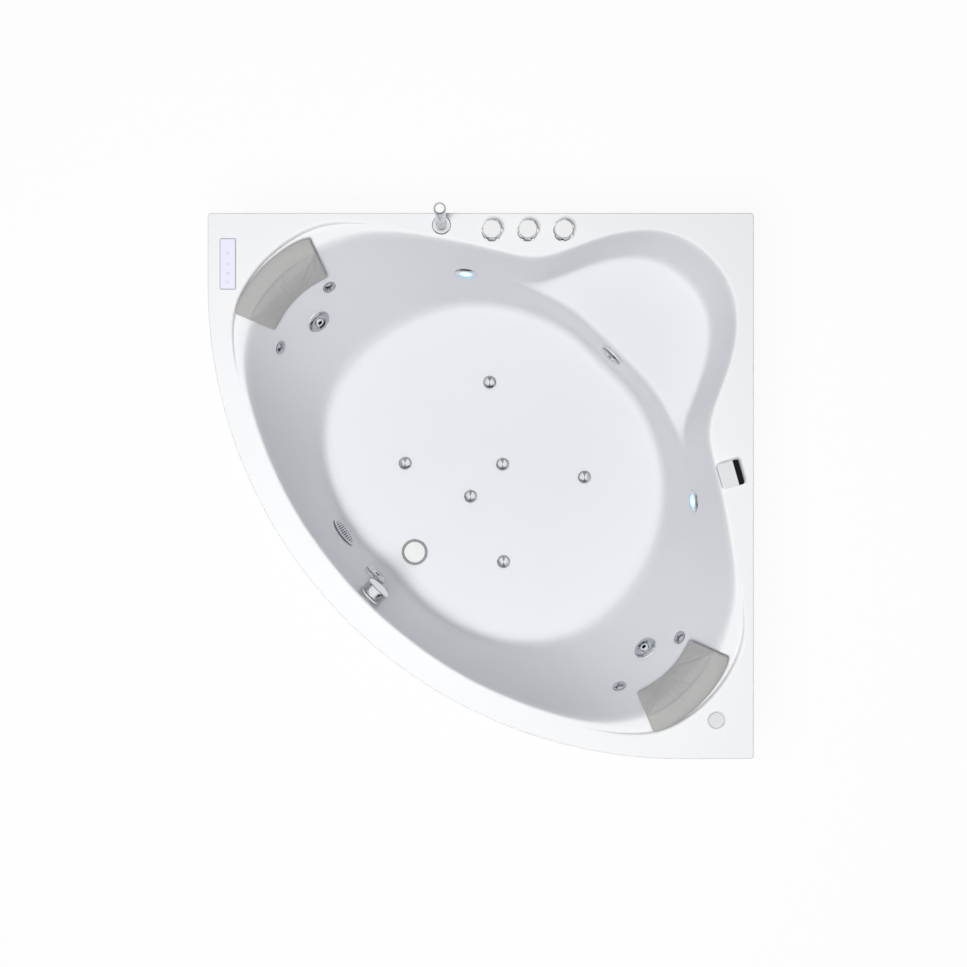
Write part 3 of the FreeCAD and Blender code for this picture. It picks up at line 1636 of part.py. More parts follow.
deck_nut_height = -size.skin - size.running_gap
tap_nut = hex_nut("tap", size.tap_hole_radius)
deck_nuts = [placed_shape(tap_nut, shifted(place, deck_nut_height)) for place in valve_places]
for name, place, barrel in (
    ("shower", shower_place, size.holder_barrel_radius),
    ("spout", spout_place, size.spout_tail_radius),
    ("air", air_place, size.air_barrel_radius),
):
    deck_nuts.append(placed_shape(hex_nut(name, barrel), shifted(place, deck_nut_height)))
group("deck_lock_nuts", deck_nuts)
wall_nut_height = -(size.skin - size.spot_depth) - size.running_gap
wall_nuts = []
for name, places, barrel in (
    ("jet", jet_places.values(), size.jet_barrel_radius),
    ("micro", micro_places, size.micro_barrel_radius),
    ("light", light_places, size.light_barrel_radius),
    ("suction", [suction_place], size.suction_barrel_radius),
    ("overflow", [overflow_place], size.overflow_barrel_radius),
):
    nut = hex_nut(name, barrel)
    wall_nuts += [placed_shape(nut, shifted(place, wall_nut_height)) for place in places]
group("wall_lock_nuts", wall_nuts)


# Headrest pillows: a crowned foam wedge bent along the rim, with a flatter top and a long face.
def pillow_section(angle, draw_in):
    """One closed section of lines and shallow arcs, drawn in towards its middle by a length."""
    rim = rim_radius(size.pillow_angle)
    deck = rim_height
    ridge = (rim - size.pillow_ridge_reach, deck + size.pillow_ridge_lift)
    face_end = (ridge[0] - size.pillow_face_run, ridge[1] - size.pillow_face_drop)
    outer_foot = (rim + size.pillow_outer_reach, deck + size.pillow_outer_lift)
    thinning = size.pillow_end_thinning * (angle / size.pillow_half_span) ** 2
    corners = [
        outer_foot,
        (outer_foot[0], outer_foot[1] + size.pillow_outer_edge),
        ridge,
        face_end,
        (face_end[0] + size.pillow_lower_run - thinning, face_end[1] - size.pillow_lower_drop),
        (rim - size.pillow_back_gap - thinning, deck - size.ledge_drop + size.pillow_back_gap / 2),
    ]
    crowns = {1: size.pillow_top_crown, 2: size.pillow_face_crown}
    middle = [sum(corner[axis] for corner in corners) / len(corners) for axis in (0, 1)]
    axis_radius = rim + size.pillow_outer_reach - size.pillow_bend
    turn = math.radians(angle)

    def at(radius, height):
        away = math.hypot(radius - middle[0], height - middle[1])
        share = 1 - draw_in / away
        reach = middle[0] + (radius - middle[0]) * share - axis_radius
        level = middle[1] + (height - middle[1]) * share
        return Vector(axis_radius + reach * math.cos(turn), reach * math.sin(turn), level)

    edges = []
    for index, start in enumerate(corners):
        end = corners[(index + 1) % len(corners)]
        if index not in crowns:
            edges.append(Part.LineSegment(at(*start), at(*end)).toShape())
            continue
        run, rise = end[0] - start[0], end[1] - start[1]
        length = math.hypot(run, rise)
        bulge = (
            (start[0] + end[0]) / 2 + rise / length * crowns[index],
            (start[1] + end[1]) / 2 - run / length * crowns[index],
        )
        edges.append(Part.Arc(at(*start), at(*bulge), at(*end)).toShape())
    return Part.Wire(edges)


def pillow():
    """The left pillow in its place, pushed back along the backrest until it lies on it."""
    span_shares = (-1, -0.85, -0.45, 0, 0.45, 0.85, 1)
    draw_shares = (1, 0.35, 0, 0, 0, 0.35, 1)
    sections = [
        pillow_section(share * size.pillow_half_span, draw_share * size.pillow_end_draw)
        for share, draw_share in zip(span_shares, draw_shares)
    ]
    solid = Part.makeLoft(sections, True)
    if solid.Volume < 0:
        solid.reverse()
    turn = FreeCAD.Rotation(Vector(0, 0, 1), 45 + size.pillow_angle)
    shift = turn.multVec(Vector(0, size.pillow_shift, 0))
    solid.Placement = FreeCAD.Placement(basin_centre + shift, turn)
    backrest = math.atan2(size.pillow_face_run, size.pillow_face_drop)
    back = turn.multVec(Vector(math.cos(backrest), 0, -math.sin(backrest)))
    solid.translate(back * -size.pillow_stand_off)
    tries = 10
    for _ in range(tries):
        gap = solid.distToShape(basin_face)[0]
        solid.translate(back * (gap - size.pillow_gap))
    return solid


left_pillow = pillow()
node("pillow_left", left_pillow)
node("pillow_right", left_pillow.mirror(Vector(0, 0, 0), Vector(1, -1, 0)))


# Support frame: square tube rails in two layers, posts up to the deck, tabs for the apron and
# shelves for the machinery.
under_deck = rim_height - size.skin
post_top = under_deck - size.running_gap
frame_line = half_side - size.frame_inset
rail_level = size.frame_height + size.tube_side / 2
upper_level = rail_level + size.tube_side
apron_face = front_radius - size.apron_inset - size.apron_thickness
tab_face = apron_face - size.running_gap
bow_post_radius = tab_face - size.tab_length - size.tube_side / 2
bow_centre = Vector(front_centre, front_centre, 0)


def bow_reach(across):
    """Where a rail at that distance across meets the line of the bow posts."""
    return front_centre - math.sqrt(bow_post_radius**2 - (front_centre - across) ** 2)


def square_tube(start, end, spin=0):
    run = end - start

    def bar(side):
        solid = Part.makeBox(side, side, run.Length)
        solid.translate(Vector(-side / 2, -side / 2, 0))
        return solid

    tube = bar(size.tube_side).cut(bar(size.tube_side - 2 * size.tube_wall))
    aim = FreeCAD.Rotation(Vector(0, 0, 1), run).multiply(FreeCAD.Rotation(Vector(0, 0, 1), spin))
    tube.Placement = FreeCAD.Placement(start, aim)
    return tube


def swapped(point):
    """The mirror image of a point across the corner diagonal."""
    return Vector(point.y, point.x, point.z)


def bow_turn(point):
    outward = point - bow_centre
    return math.degrees(math.atan2(outward.y, outward.x))


rail_places = (size.rail_far, size.rail_near)
rail_end = frame_line + size.tube_side / 2
foot_points = [
    Vector(-frame_line + size.foot_setback, frame_line, 0),
    Vector(frame_line - size.foot_setback, frame_line, 0),
    Vector(frame_line - size.foot_setback, size.front_rail_setback - frame_line, 0),
    Vector(size.rail_far + size.foot_setback, size.front_rail_setback - frame_line, 0),
    Vector(bow_reach(size.rail_near) + size.foot_setback, size.rail_near, 0),
]
lower_runs = [
    (-rail_end, frame_line),
    (size.rail_far - size.tube_side / 2, size.front_rail_setback - frame_line),
]
lower_runs += [(bow_reach(place) - size.tube_side / 2, place) for place in rail_places]
lower_rails = [
    square_tube(Vector(start, place, rail_level), Vector(rail_end, place, rail_level))
    for start, place in lower_runs
]
foot_holes = [
    Part.makeCylinder(
        size.foot_stud_radius + size.running_gap,
        size.tube_side / 2,
        point + Vector(0, 0, size.frame_height - size.tube_side / 4),
    )
    for point in foot_points
]
lower_rails = [rail.cut(foot_holes) for rail in lower_rails]
upper_runs = [(-rail_end, frame_line)]
upper_runs += [(bow_reach(place) - size.tube_side / 2, place) for place in rail_places]
upper_rails = [
    square_tube(Vector(place, start, upper_level), Vector(place, rail_end, upper_level))
    for start, place in upper_runs
]
corner_feet = [
    Vector(-frame_line, frame_line, size.frame_height + size.tube_side),
    Vector(frame_line, frame_line, frame_top),
    Vector(frame_line, -frame_line, frame_top),
]
bow_feet = [Vector(bow_reach(place), place, size.frame_height + size.tube_side) for place in rail_places]
bow_feet += [swapped(Vector(bow_reach(place), place, frame_top)) for place in rail_places]
posts = [square_tube(foot, Vector(foot.x, foot.y, post_top)) for foot in corner_feet]
posts += [square_tube(foot, Vector(foot.x, foot.y, post_top), bow_turn(foot)) for foot in bow_feet]


def facing(point, outward):
    """A place whose Z axis points outward and whose Y axis points up."""
    up = Vector(0, 0, 1)
    return FreeCAD.Placement(point, FreeCAD.Rotation(up.cross(outward), up, outward, "ZYX"))


def apron_fixings():
    """Each place on the apron's inner face where a post carries it, with the post's distance."""
    bow_gap = apron_face - bow_post_radius
    side_gap = half_side - size.apron_inset - size.apron_thickness - frame_line
    ways = [(foot, Vector(foot.x - front_centre, foot.y - front_centre, 0).normalize(), bow_gap) for foot in bow_feet]
    ways.append((corner_feet[0], Vector(-1, 0, 0), side_gap))
    ways.append((corner_feet[2], Vector(0, -1, 0), side_gap))
    places = []
    for foot, outward, gap in ways:
        for height in (size.screw_high, size.screw_low):
            places.append((facing(Vector(foot.x, foot.y, height) + outward * gap, outward), gap))
    return places


def screw_tab(place, gap):
    length = gap - size.tube_side / 2 - size.running_gap
    tab = Part.makeBox(size.tab_side, size.tab_side, length)
    tab.translate(Vector(-size.tab_side / 2, -size.tab_side / 2, size.tube_side / 2 - gap))
    hole = Part.makeCylinder(size.screw_shank_radius + size.running_gap, 2 * gap, Vector(0, 0, -gap))
    tab = tab.cut(hole)
    tab.Placement = place
    return tab


def shelf(east, west, south, north, height):
    plate = Part.makeBox(east - west, north - south, size.shelf_thickness)
    plate.translate(Vector(west, south, height))
    return plate


fixings = apron_fixings()
shelf_outer = frame_line - size.shelf_setback
shelf_near = size.rail_far - size.tube_side / 2
pump_shelf_height = size.frame_height + size.tube_side
shelves = [
    shelf(size.shelf_depth - shelf_outer, -shelf_outer, shelf_near, rail_end, pump_shelf_height),
    shelf(rail_end, shelf_near, -shelf_outer, size.shelf_depth - shelf_outer, frame_top),
    shelf(rail_end, shelf_near, shelf_outer - size.box_shelf_width, shelf_outer, frame_top),
]
stubs = [
    square_tube(Vector(east, north, frame_top), Vector(east, north, board_base))
    for east in rail_places
    for north in (size.stub_far, size.stub_near)
]
tabs = [screw_tab(place, gap) for place, gap in fixings]
group("support_frame", lower_rails + upper_rails + posts + tabs + stubs + shelves)


def base_board():
    """The board bonded under the floor, cut away round the waste and the air jets."""
    board = Part.makeCylinder(size.board_radius, size.board_thickness, basin_centre + Vector(0, 0, board_base))
    openings = [(drain_place, size.trap_radius)]
    openings += [(place, size.floor_jet_barrel_radius) for place in floor_jet_places]
    holes = [
        Part.makeCylinder(
            radius + size.board_hole_margin,
            size.board_thickness + 2 * size.overrun,
            Vector(place.Base.x, place.Base.y, board_base - size.overrun),
        )
        for place, radius in openings
    ]
    return board.cut(holes)


node("base_board", base_board())


# Front apron: one bowed sheet that hangs under the lip, and its screws.
def front_apron():
    def run(inset):
        half = half_side - inset
        end = half_side - size.apron_inset
        arc, first, last = arc_between(
            (front_centre, front_centre), front_radius - inset, 180, 270, size.apron_lift
        )
        start = Vector(-half, end, size.apron_lift)
        finish = Vector(end, -half, size.apron_lift)
        return start, finish, [
            Part.LineSegment(start, first).toShape(),
            arc,
            Part.LineSegment(last, finish).toShape(),
        ]

    outer_start, outer_finish, outer_edges = run(size.apron_inset)
    inner_start, inner_finish, inner_edges = run(size.apron_inset + size.apron_thickness)
    ends = [
        Part.LineSegment(outer_start, inner_start).toShape(),
        Part.LineSegment(outer_finish, inner_finish).toShape(),
    ]
    section = Part.Face(Part.Wire(Part.__sortEdges__(outer_edges + inner_edges + ends)))
    sheet_height = under_deck - size.apron_top_gap - size.apron_lift
    holes = []
    for place, gap in fixings:
        hole = Part.makeCylinder(size.screw_shank_radius + size.hole_clearance, 2 * gap, Vector(0, 0, -gap))
        hole.Placement = place
        holes.append(hole)
    return section.extrude(Vector(0, 0, sheet_height)).cut(holes)


apron_screw = turned(
    "apron_screw",
    (
        ("0", "apron_thickness - screw_length"),
        ("screw_shank_radius", "apron_thickness - screw_length"),
        ("screw_shank_radius", "apron_thickness"),
        ("screw_head_radius", "apron_thickness"),
        ("0", "apron_thickness + screw_head_height", dome("screw_head_radius", "screw_head_height")),
    ),
)
node("front_apron", front_apron())
group("apron_screws", [placed_shape(apron_screw, place) for place, _ in fixings])

# Levelling feet: a round base on a stud that screws up into the rail, held by a lock nut.
foot_top = "frame_height + tube_side - tube_wall - foot_stud_margin"
levelling_foot = turned(
    "levelling_foot",
    (
        ("0", "0"),
        ("foot_base_radius", "0"),
        ("foot_base_radius", "foot_base_height"),
        ("foot_neck_radius", "foot_base_height + foot_cone_height"),
        ("foot_stud_radius", "foot_base_height + foot_cone_height"),
        ("foot_stud_radius", foot_top),
        ("0", foot_top),
    ),
)
foot_places = [FreeCAD.Placement(point, upright) for point in foot_points]
for number, place in enumerate(foot_places, start=1):
    node(f"levelling_foot_{number}", levelling_foot.Shape, place)
foot_nut = hex_nut("foot", size.foot_stud_radius)
group("foot_lock_nuts", [placed_shape(foot_nut, shifted(place, size.frame_height)) for place in foot_places])


# Massage pump: wet end with its inlet and outlet, finned motor on a foot, and the spinning set.
def pressure_point(place):
    return place.multVec(Vector(0, 0, -size.jet_barrel_length - size.jet_tail_length - size.pressure_branch))


def into_basin(place):
    return place.Rotation.multVec(Vector(0, 0, 1))


def along_wall(place):
    inward = into_basin(place)
    return Vector(inward.y, -inward.x, 0).normalize()


pump_tee = pressure_point(jet_places["left"])
pump_way = along_wall(jet_places["left"])
pump_axis = pump_shelf_height + size.shelf_thickness + size.pump_axis_height
pump_place = facing(
    Vector(pump_tee.x, pump_tee.y, pump_axis) - pump_way * (size.volute_length / 2), pump_way
)
volute_case = turned(
    "volute_case",
    (
        ("shaft_radius + spindle_clearance", "0"),
        ("volute_radius", "0"),
        ("volute_radius", "volute_length"),
        ("pump_inlet_radius", "volute_length"),
        ("pump_inlet_radius", "volute_length + pump_inlet_length"),
        ("pump_inlet_bore", "volute_length + pump_inlet_length"),
        ("pump_inlet_bore", "volute_length - volute_wall"),
        ("volute_chamber_radius", "volute_length - volute_wall"),
        ("volute_chamber_radius", "volute_wall"),
        ("shaft_radius + spindle_clearance", "volute_wall"),
    ),
)
outlet_end = size.volute_radius + size.pump_outlet_rise
outlet_base = Vector(0, size.volute_chamber_radius, size.volute_length / 2)
outlet_spigot = Part.makeCylinder(
    size.pump_outlet_radius, outlet_end - size.volute_chamber_radius, outlet_base, Vector(0, 1, 0)
)
outlet_bore = Part.makeCylinder(
    size.pressure_bore, outlet_end, Vector(0, 0, size.volute_length / 2), Vector(0, 1, 0)
)
node("pump_volute", volute_case.Shape.fuse(outlet_spigot).cut(outlet_bore), pump_place)
motor_can = turned(
    "motor_can",
    (
        ("0", "-motor_length"),
        ("motor_radius", "-motor_length"),
        ("motor_radius", "0"),
        ("shaft_radius + spindle_clearance", "0"),
        ("shaft_radius + spindle_clearance", "-motor_front_wall"),
        ("motor_bore_radius", "-motor_front_wall"),
        ("motor_bore_radius", "-(motor_front_wall + motor_bore_length)"),
        ("shaft_radius + spindle_clearance", "-(motor_front_wall + motor_bore_length)"),
        ("shaft_radius + spindle_clearance", "-(2 * motor_front_wall + motor_bore_length)"),
        ("0", "-(2 * motor_front_wall + motor_bore_length)"),
    ),
)


def finned_motor():
    length = size.motor_length - 2 * size.motor_fin_margin
    grooves = []
    for step in range(int(size.motor_fin_count)):
        groove = Part.makeBox(size.motor_fin_width, size.overrun, length)
        groove.translate(
            Vector(
                -size.motor_fin_width / 2,
                size.motor_radius - size.motor_fin_depth,
                size.motor_fin_margin - size.motor_length,
            )
        )
        groove.rotate(Vector(0, 0, 0), Vector(0, 0, 1), 360 * (step + 0.5) / size.motor_fin_count)
        grooves.append(groove)
    foot_start = -(size.motor_length + size.motor_foot_length) / 2
    top = -(size.motor_radius + size.motor_bore_radius) / 2
    pedestal = Part.makeBox(size.motor_pedestal_width, top + size.pump_axis_height, size.motor_foot_length)
    pedestal.translate(Vector(-size.motor_pedestal_width / 2, -size.pump_axis_height, foot_start))
    foot = Part.makeBox(size.motor_foot_width, size.motor_foot_thickness, size.motor_foot_length)
    foot.translate(Vector(-size.motor_foot_width / 2, -size.pump_axis_height, foot_start))
    return motor_can.Shape.cut(grooves).fuse([pedestal, foot])


node("pump_motor", finned_motor(), pump_place)
armature_front = "-(motor_front_wall + armature_gap)"
impeller_back = "volute_wall + impeller_gap"
pump_rotor = turned(
    "pump_rotor_blank",
    (
        ("0", "running_gap - (2 * motor_front_wall + motor_bore_length)"),
        ("shaft_radius", "running_gap - (2 * motor_front_wall + motor_bore_length)"),
        ("shaft_radius", armature_front + " - armature_length"),
        ("armature_radius", armature_front + " - armature_length"),
        ("armature_radius", armature_front),
        ("shaft_radius", armature_front),
        ("shaft_radius", impeller_back),
        ("impeller_radius", impeller_back),
        ("impeller_radius", impeller_back + " + impeller_thickness"),
        ("0", impeller_back + " + impeller_thickness"),
    ),
)
node("pump_rotor", pump_rotor.Shape, pump_place)

# Air blower: an upright can with its intake on top, and the fan on its shaft.
hub_point = Vector(size.air_hub_east, size.air_hub_north, air_hose_height)
blower_tee = pressure_point(jet_places["right"])
blower_out = into_basin(jet_places["right"])
blower_base = Vector(blower_tee.x, blower_tee.y, frame_top + size.shelf_thickness)
blower_base -= Vector(blower_out.x, blower_out.y, 0).normalize() * size.blower_set_out
blower_way = Vector(hub_point.x - blower_base.x, hub_point.y - blower_base.y, 0).normalize()
blower_place = FreeCAD.Placement(blower_base, FreeCAD.Rotation(Vector(1, 0, 0), blower_way))
blower_can = turned(
    "blower_can",
    (
        ("0", "0"),
        ("blower_radius", "0"),
        ("blower_radius", "blower_height"),
        ("blower_intake_radius", "blower_height"),
        ("blower_intake_radius", "blower_height - blower_wall"),
        ("blower_radius - blower_wall", "blower_height - blower_wall"),
        ("blower_radius - blower_wall", "blower_floor"),
        ("blower_shaft_radius + blower_wall", "blower_floor"),
        ("blower_shaft_radius + blower_wall", "blower_floor + blower_shaft_socket"),
        ("blower_shaft_radius + spindle_clearance", "blower_floor + blower_shaft_socket"),
        ("blower_shaft_radius + spindle_clearance", "blower_floor / 2"),
        ("0", "blower_floor / 2"),
    ),
)
blower_axis = Vector(0, 0, size.blower_outlet_height)
blower_inside = Vector(size.blower_radius - size.blower_wall, 0, 0)
blower_spigot = Part.makeCylinder(
    size.blower_outlet_radius,
    size.blower_outlet_reach - blower_inside.x,
    blower_axis + blower_inside,
    Vector(1, 0, 0),
)
blower_bore = Part.makeCylinder(
    size.blower_outlet_radius - size.blower_wall,
    size.blower_outlet_reach - blower_inside.x / 2,
    blower_axis + blower_inside / 2,
    Vector(1, 0, 0),
)
node("blower_housing", blower_can.Shape.fuse(blower_spigot).cut(blower_bore), blower_place)
blower_rotor = turned(
    "blower_rotor_blank",
    (
        ("0", "blower_floor / 2 + running_gap"),
        ("blower_shaft_radius", "blower_floor / 2 + running_gap"),
        ("blower_shaft_radius", "blower_rotor_lift"),
        ("blower_rotor_radius", "blower_rotor_lift"),
        ("blower_rotor_radius", "blower_rotor_lift + blower_rotor_height"),
        ("0", "blower_rotor_lift + blower_rotor_height"),
    ),
)
node("blower_rotor", blower_rotor.Shape, blower_place)

# Electric control box on its shelf, with cable glands towards the basin.
box_case = rounded_plate("box_case", "box_length", "box_width", "box_round", "box_height")
gland_shares = (-0.3, 0, 0.3)
glands = [
    Part.makeCylinder(
        size.box_gland_radius,
        size.box_gland_length,
        Vector(share * size.box_length, -size.box_width / 2, size.box_height / 2),
        Vector(0, -1, 0),
    )
    for share in gland_shares
]
box_place = FreeCAD.Placement(
    Vector((rail_end + shelf_near) / 2, shelf_outer - size.box_shelf_width / 2, frame_top + size.shelf_thickness),
    upright,
)
node("control_box", box_case.Shape.fuse(glands), box_place)


# Pressure pipe: one line round the basin with a branch to each main jet, one down to the pump
# and a thin air line up to the regulator.
def pressure_pipe():
    front_shares = ((163, 0.345, 0.428), (147, 0.354, 0.445), (122, 0.410, 0.394))
    rear_shares = ((60, 0.460, 0.355), (35, 0.420, 0.355), (15, 0.400, 0.355))

    def through(shares, side):
        return [
            polar(side * angle, radius_share * size.tub_side, floor_height + height_share * size.basin_depth)
            for angle, radius_share, height_share in shares
        ]

    def past(name, side):
        tee, way = pressure_point(jet_places[name]), along_wall(jet_places[name]) * side
        return [tee - way * size.pressure_run, tee + way * size.pressure_run]

    route = [pressure_point(jet_places["front"]), *through(front_shares, 1), *past("left", -1)]
    route += [*through(rear_shares, 1), *past("seat", -1)]
    route += [*reversed(through(rear_shares, -1)), *past("right", -1)]
    branches = []
    for place in jet_places.values():
        tee = pressure_point(place)
        branches.append(
            Part.makeCylinder(size.jet_tail_radius, size.pressure_branch, tee, into_basin(place))
        )
    pump_end = pump_axis + outlet_end
    branches.append(
        Part.makeCylinder(
            size.pressure_radius,
            pump_tee.z - pump_end,
            Vector(pump_tee.x, pump_tee.y, pump_end),
        )
    )
    line_top = air_place.multVec(Vector(0, 0, -size.air_barrel_length))
    line_foot = line_top - Vector(0, 0, size.air_line_drop)
    line_end = blower_tee
    air_line = [line_top, line_foot, Vector(line_end.x, line_end.y, line_foot.z), line_end]
    branches.append(pipe(air_line, size.air_hose_radius, size.air_bend))
    trunk = pipe(route, size.pressure_radius, size.pressure_bend)
    bore = pipe(route, size.pressure_bore, size.pressure_bend)
    return trunk.fuse(branches).cut(bore)


node("pressure_pipe", pressure_pipe())


# Suction pipe: from the suction fitting down under the basin to the pump's inlet.
def suction_pipe():
    tail = Vector(0, 0, -size.suction_barrel_length - size.suction_tail_length)
    start = suction_place.multVec(tail)
    elbow = suction_place.multVec(tail - Vector(0, 0, size.suction_run))
    inlet = pump_place.multVec(Vector(0, 0, size.volute_length + size.pump_inlet_length))
    approach = inlet + pump_way * size.suction_approach
    low = Vector(elbow.x, elbow.y, pump_axis - size.suction_fall)

    def line(radius):
        run = pipe([elbow, low, approach, inlet], radius, size.suction_bend)
        return run.fuse([Part.makeSphere(radius, elbow), *elbowed([start, elbow], radius)])

    return line(size.suction_tail_radius).cut(line(size.suction_pipe_bore))


node("suction_pipe", suction_pipe())


# Air pipes: a hub under the floor, a hose up to each floor jet and the feed from the blower.
def air_pipe():
    hub = Part.makeCylinder(
        size.air_hub_radius,
        2 * size.air_hub_half_height,
        hub_point - Vector(0, 0, size.air_hub_half_height),
    )
    tail_depth = size.skin + size.floor_jet_barrel_length + size.floor_jet_tail_length
    hoses = []
    for place in floor_jet_places:
        tail_end = place.Base - Vector(0, 0, tail_depth)
        below = Vector(tail_end.x, tail_end.y, hub_point.z)
        hoses.append(pipe([hub_point, below, tail_end], size.air_hose_radius, size.air_bend))
    outlet = blower_place.multVec(Vector(size.blower_outlet_reach, 0, size.blower_outlet_height))
    before = outlet + blower_way * (2 * size.air_feed_radius)
    feed = pipe([hub_point, before, outlet], size.air_feed_radius, size.air_bend)
    return hub.fuse([*hoses, feed])


node("air_pipe", air_pipe())

# Every piece is checked before any is written.
doc.recompute()
for item in doc.Objects:
    if "Invalid" in item.State or "Error" in item.State:
        raise RuntimeError(f"{item.Label} did not recompute")
for piece in nodes:
    if piece.Shape.isNull() or not piece.Shape.isValid():
        raise RuntimeError(f"{piece.Label} has no valid shape")
os.makedirs("parts", exist_ok=True)
for piece in nodes:
    piece.Shape.exportStep(f"parts/{piece.Label}.step")
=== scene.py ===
import json
import math

import bmesh
import bpy
from mathutils import Matrix, Vector


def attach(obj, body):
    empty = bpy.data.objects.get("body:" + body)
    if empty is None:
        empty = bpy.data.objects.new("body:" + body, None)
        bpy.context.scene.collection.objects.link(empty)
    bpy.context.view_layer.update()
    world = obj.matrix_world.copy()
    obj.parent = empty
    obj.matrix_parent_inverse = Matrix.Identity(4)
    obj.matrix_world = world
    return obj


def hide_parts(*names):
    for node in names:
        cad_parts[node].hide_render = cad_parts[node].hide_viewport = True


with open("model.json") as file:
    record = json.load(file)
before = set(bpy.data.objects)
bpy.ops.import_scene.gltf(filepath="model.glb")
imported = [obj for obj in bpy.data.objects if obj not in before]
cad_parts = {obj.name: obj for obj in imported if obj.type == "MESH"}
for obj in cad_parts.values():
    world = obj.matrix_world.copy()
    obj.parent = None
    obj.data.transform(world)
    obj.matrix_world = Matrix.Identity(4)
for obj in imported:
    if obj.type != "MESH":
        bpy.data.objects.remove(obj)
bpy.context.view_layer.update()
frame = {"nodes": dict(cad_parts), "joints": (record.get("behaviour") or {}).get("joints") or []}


# Tub shell: one sheet of white acrylic, drawn down into a mould while hot and backed with
# chopped glass fibre and resin. The bathing side is polished, the back is left as it was rolled.
class Shade:
    """A value, colour or vector on its way through a finish."""

    def __init__(self, tree, socket=None):
        self.tree = tree
        self.socket = socket

    def node(self, kind, settings=None, sockets=None, out=0):
        made = self.tree.nodes.new(kind)
        for name, value in (settings or {}).items():
            if name == "stops":
                ramp = made.color_ramp
                while len(ramp.elements) < len(value):
                    ramp.elements.new(1.0)
                for element, (place, colour) in zip(ramp.elements, value):
                    element.position = place
                    element.color = (*colour, 1.0)
            else:
                setattr(made, name, value)
        for name, value in (sockets or {}).items():
            if isinstance(value, Shade):
                self.tree.links.new(value.socket, made.inputs[name])
            else:
                made.inputs[name].default_value = value
        return Shade(self.tree, None if out is None else made.outputs[out])

    def math(self, operation, *values):
        return self.node("ShaderNodeMath", {"operation": operation}, dict(enumerate(values)))

    def __add__(self, other):
        return self.math("ADD", self, other)

    def __sub__(self, other):
        return self.math("SUBTRACT", self, other)

    def __rsub__(self, other):
        return self.math("SUBTRACT", other, self)

    def __mul__(self, other):
        return self.math("MULTIPLY", self, other)

    def __truediv__(self, other):
        return self.math("DIVIDE", self, other)

    def __rtruediv__(self, other):
        return self.math("DIVIDE", other, self)

    def __gt__(self, other):
        return self.math("GREATER_THAN", self, other)

    def __lt__(self, other):
        return self.math("LESS_THAN", self, other)

    __radd__ = __add__
    __rmul__ = __mul__

    def vector(self, operation, other, out=0):
        return self.node("ShaderNodeVectorMath", {"operation": operation}, {0: self, 1: other}, out)

    def part(self, axis):
        return self.node("ShaderNodeSeparateXYZ", None, {0: self}, axis)

    def noise(self, scale, detail=2.0):
        sockets = {"Vector": self, "Scale": scale, "Detail": detail}
        return self.node("ShaderNodeTexNoise", None, sockets)

    def cells(self, scale, feature="F1"):
        sockets = {"Vector": self, "Scale": scale}
        return self.node("ShaderNodeTexVoronoi", {"feature": feature}, sockets)

    def stretched(self, scale, turn=(0.0, 0.0, 0.0)):
        sockets = {"Vector": self, "Scale": scale, "Rotation": turn}
        return self.node("ShaderNodeMapping", None, sockets)

    def step(self, low, high):
        sockets = {"Value": self, "From Min": low, "From Max": high}
        return self.node("ShaderNodeMapRange", {"interpolation_type": "SMOOTHSTEP"}, sockets)

    def between(self, first, second):
        ends = [(*end, 1.0) if isinstance(end, tuple) else end for end in (first, second)]
        sockets = {0: self, 6: ends[0], 7: ends[1]}
        return self.node("ShaderNodeMix", {"data_type": "RGBA"}, sockets, 2)

    def raised(self, depth):
        sockets = {"Height": self, "Strength": 1.0, "Distance": depth}
        return self.node("ShaderNodeBump", None, sockets)


def finish(name, look, **constants):
    """A material whose look is a function of the place on the piece; the rest of it is constant."""
    material = bpy.data.materials.new(name)
    material.use_nodes = True
    tree = material.node_tree
    shader = tree.nodes["Principled BSDF"]
    for socket, value in constants.items():
        shader.inputs[socket.replace("_", " ")].default_value = value
    place = Shade(tree).node("ShaderNodeTexCoord", out="Object")
    for socket, value in look(place).items():
        tree.links.new(value.socket, shader.inputs[socket])
    return material


def dress(material, *nodes):
    """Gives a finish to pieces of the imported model."""
    for name in nodes:
        slots = frame["nodes"][name].data.materials
        slots.clear()
        slots.append(material)


BASIN_MIDDLE = (0.026, 0.026)
OVER_BASIN = (*BASIN_MIDDLE, 1.0)
RIM_HEIGHT = 0.620
# Heights over which the basin walls fade from the deck's white to a greyer white: painted shade on
# the steep walls.
WALL_SHADE_START = RIM_HEIGHT - 0.004
WALL_SHADE_END = RIM_HEIGHT - 0.040
LIP_FOOT = 0.574


def shell_look(place):
    cloud = place.noise(3.0, 3.0)
    level_white = cloud.between((0.708, 0.713, 0.722), (0.732, 0.736, 0.744))
    shaded_wall_white = cloud.between((0.640, 0.649, 0.672), (0.670, 0.679, 0.700))
    # Painted shade: below the rim the walls take the greyer white, standing in for the shade that
    # falls on the steep basin walls.
    white = place.part(2).step(WALL_SHADE_START, WALL_SHADE_END).between(level_white, shaded_wall_white)
    outward = place.vector("SUBTRACT", OVER_BASIN)
    normal = place.node("ShaderNodeNewGeometry", out="Normal")
    back = (outward.vector("DOT_PRODUCT", normal, "Value") > 0) * (place.part(2) < LIP_FOOT)
    strands = place.stretched((60.0, 900.0, 60.0), (0.3, 0.5, 0.6)).noise(1.0, 3.0)
    crossed = place.stretched((900.0, 70.0, 90.0), (0.9, 0.2, 1.4)).noise(1.0, 3.0)
    weave = strands * 0.5 + crossed * 0.5
    resin = weave.step(0.35, 0.65).between((0.560, 0.510, 0.380), (0.700, 0.670, 0.560))
    peel = place.noise(420.0, 1.0)
    return {
        "Base Color": back.between(white, resin),
        "Roughness": 0.17 + place.noise(11.0, 4.0) * 0.10 + back * 0.3,
        "Normal": (peel * 0.02 * (1 - back) + weave * back).raised(0.0012),
    }


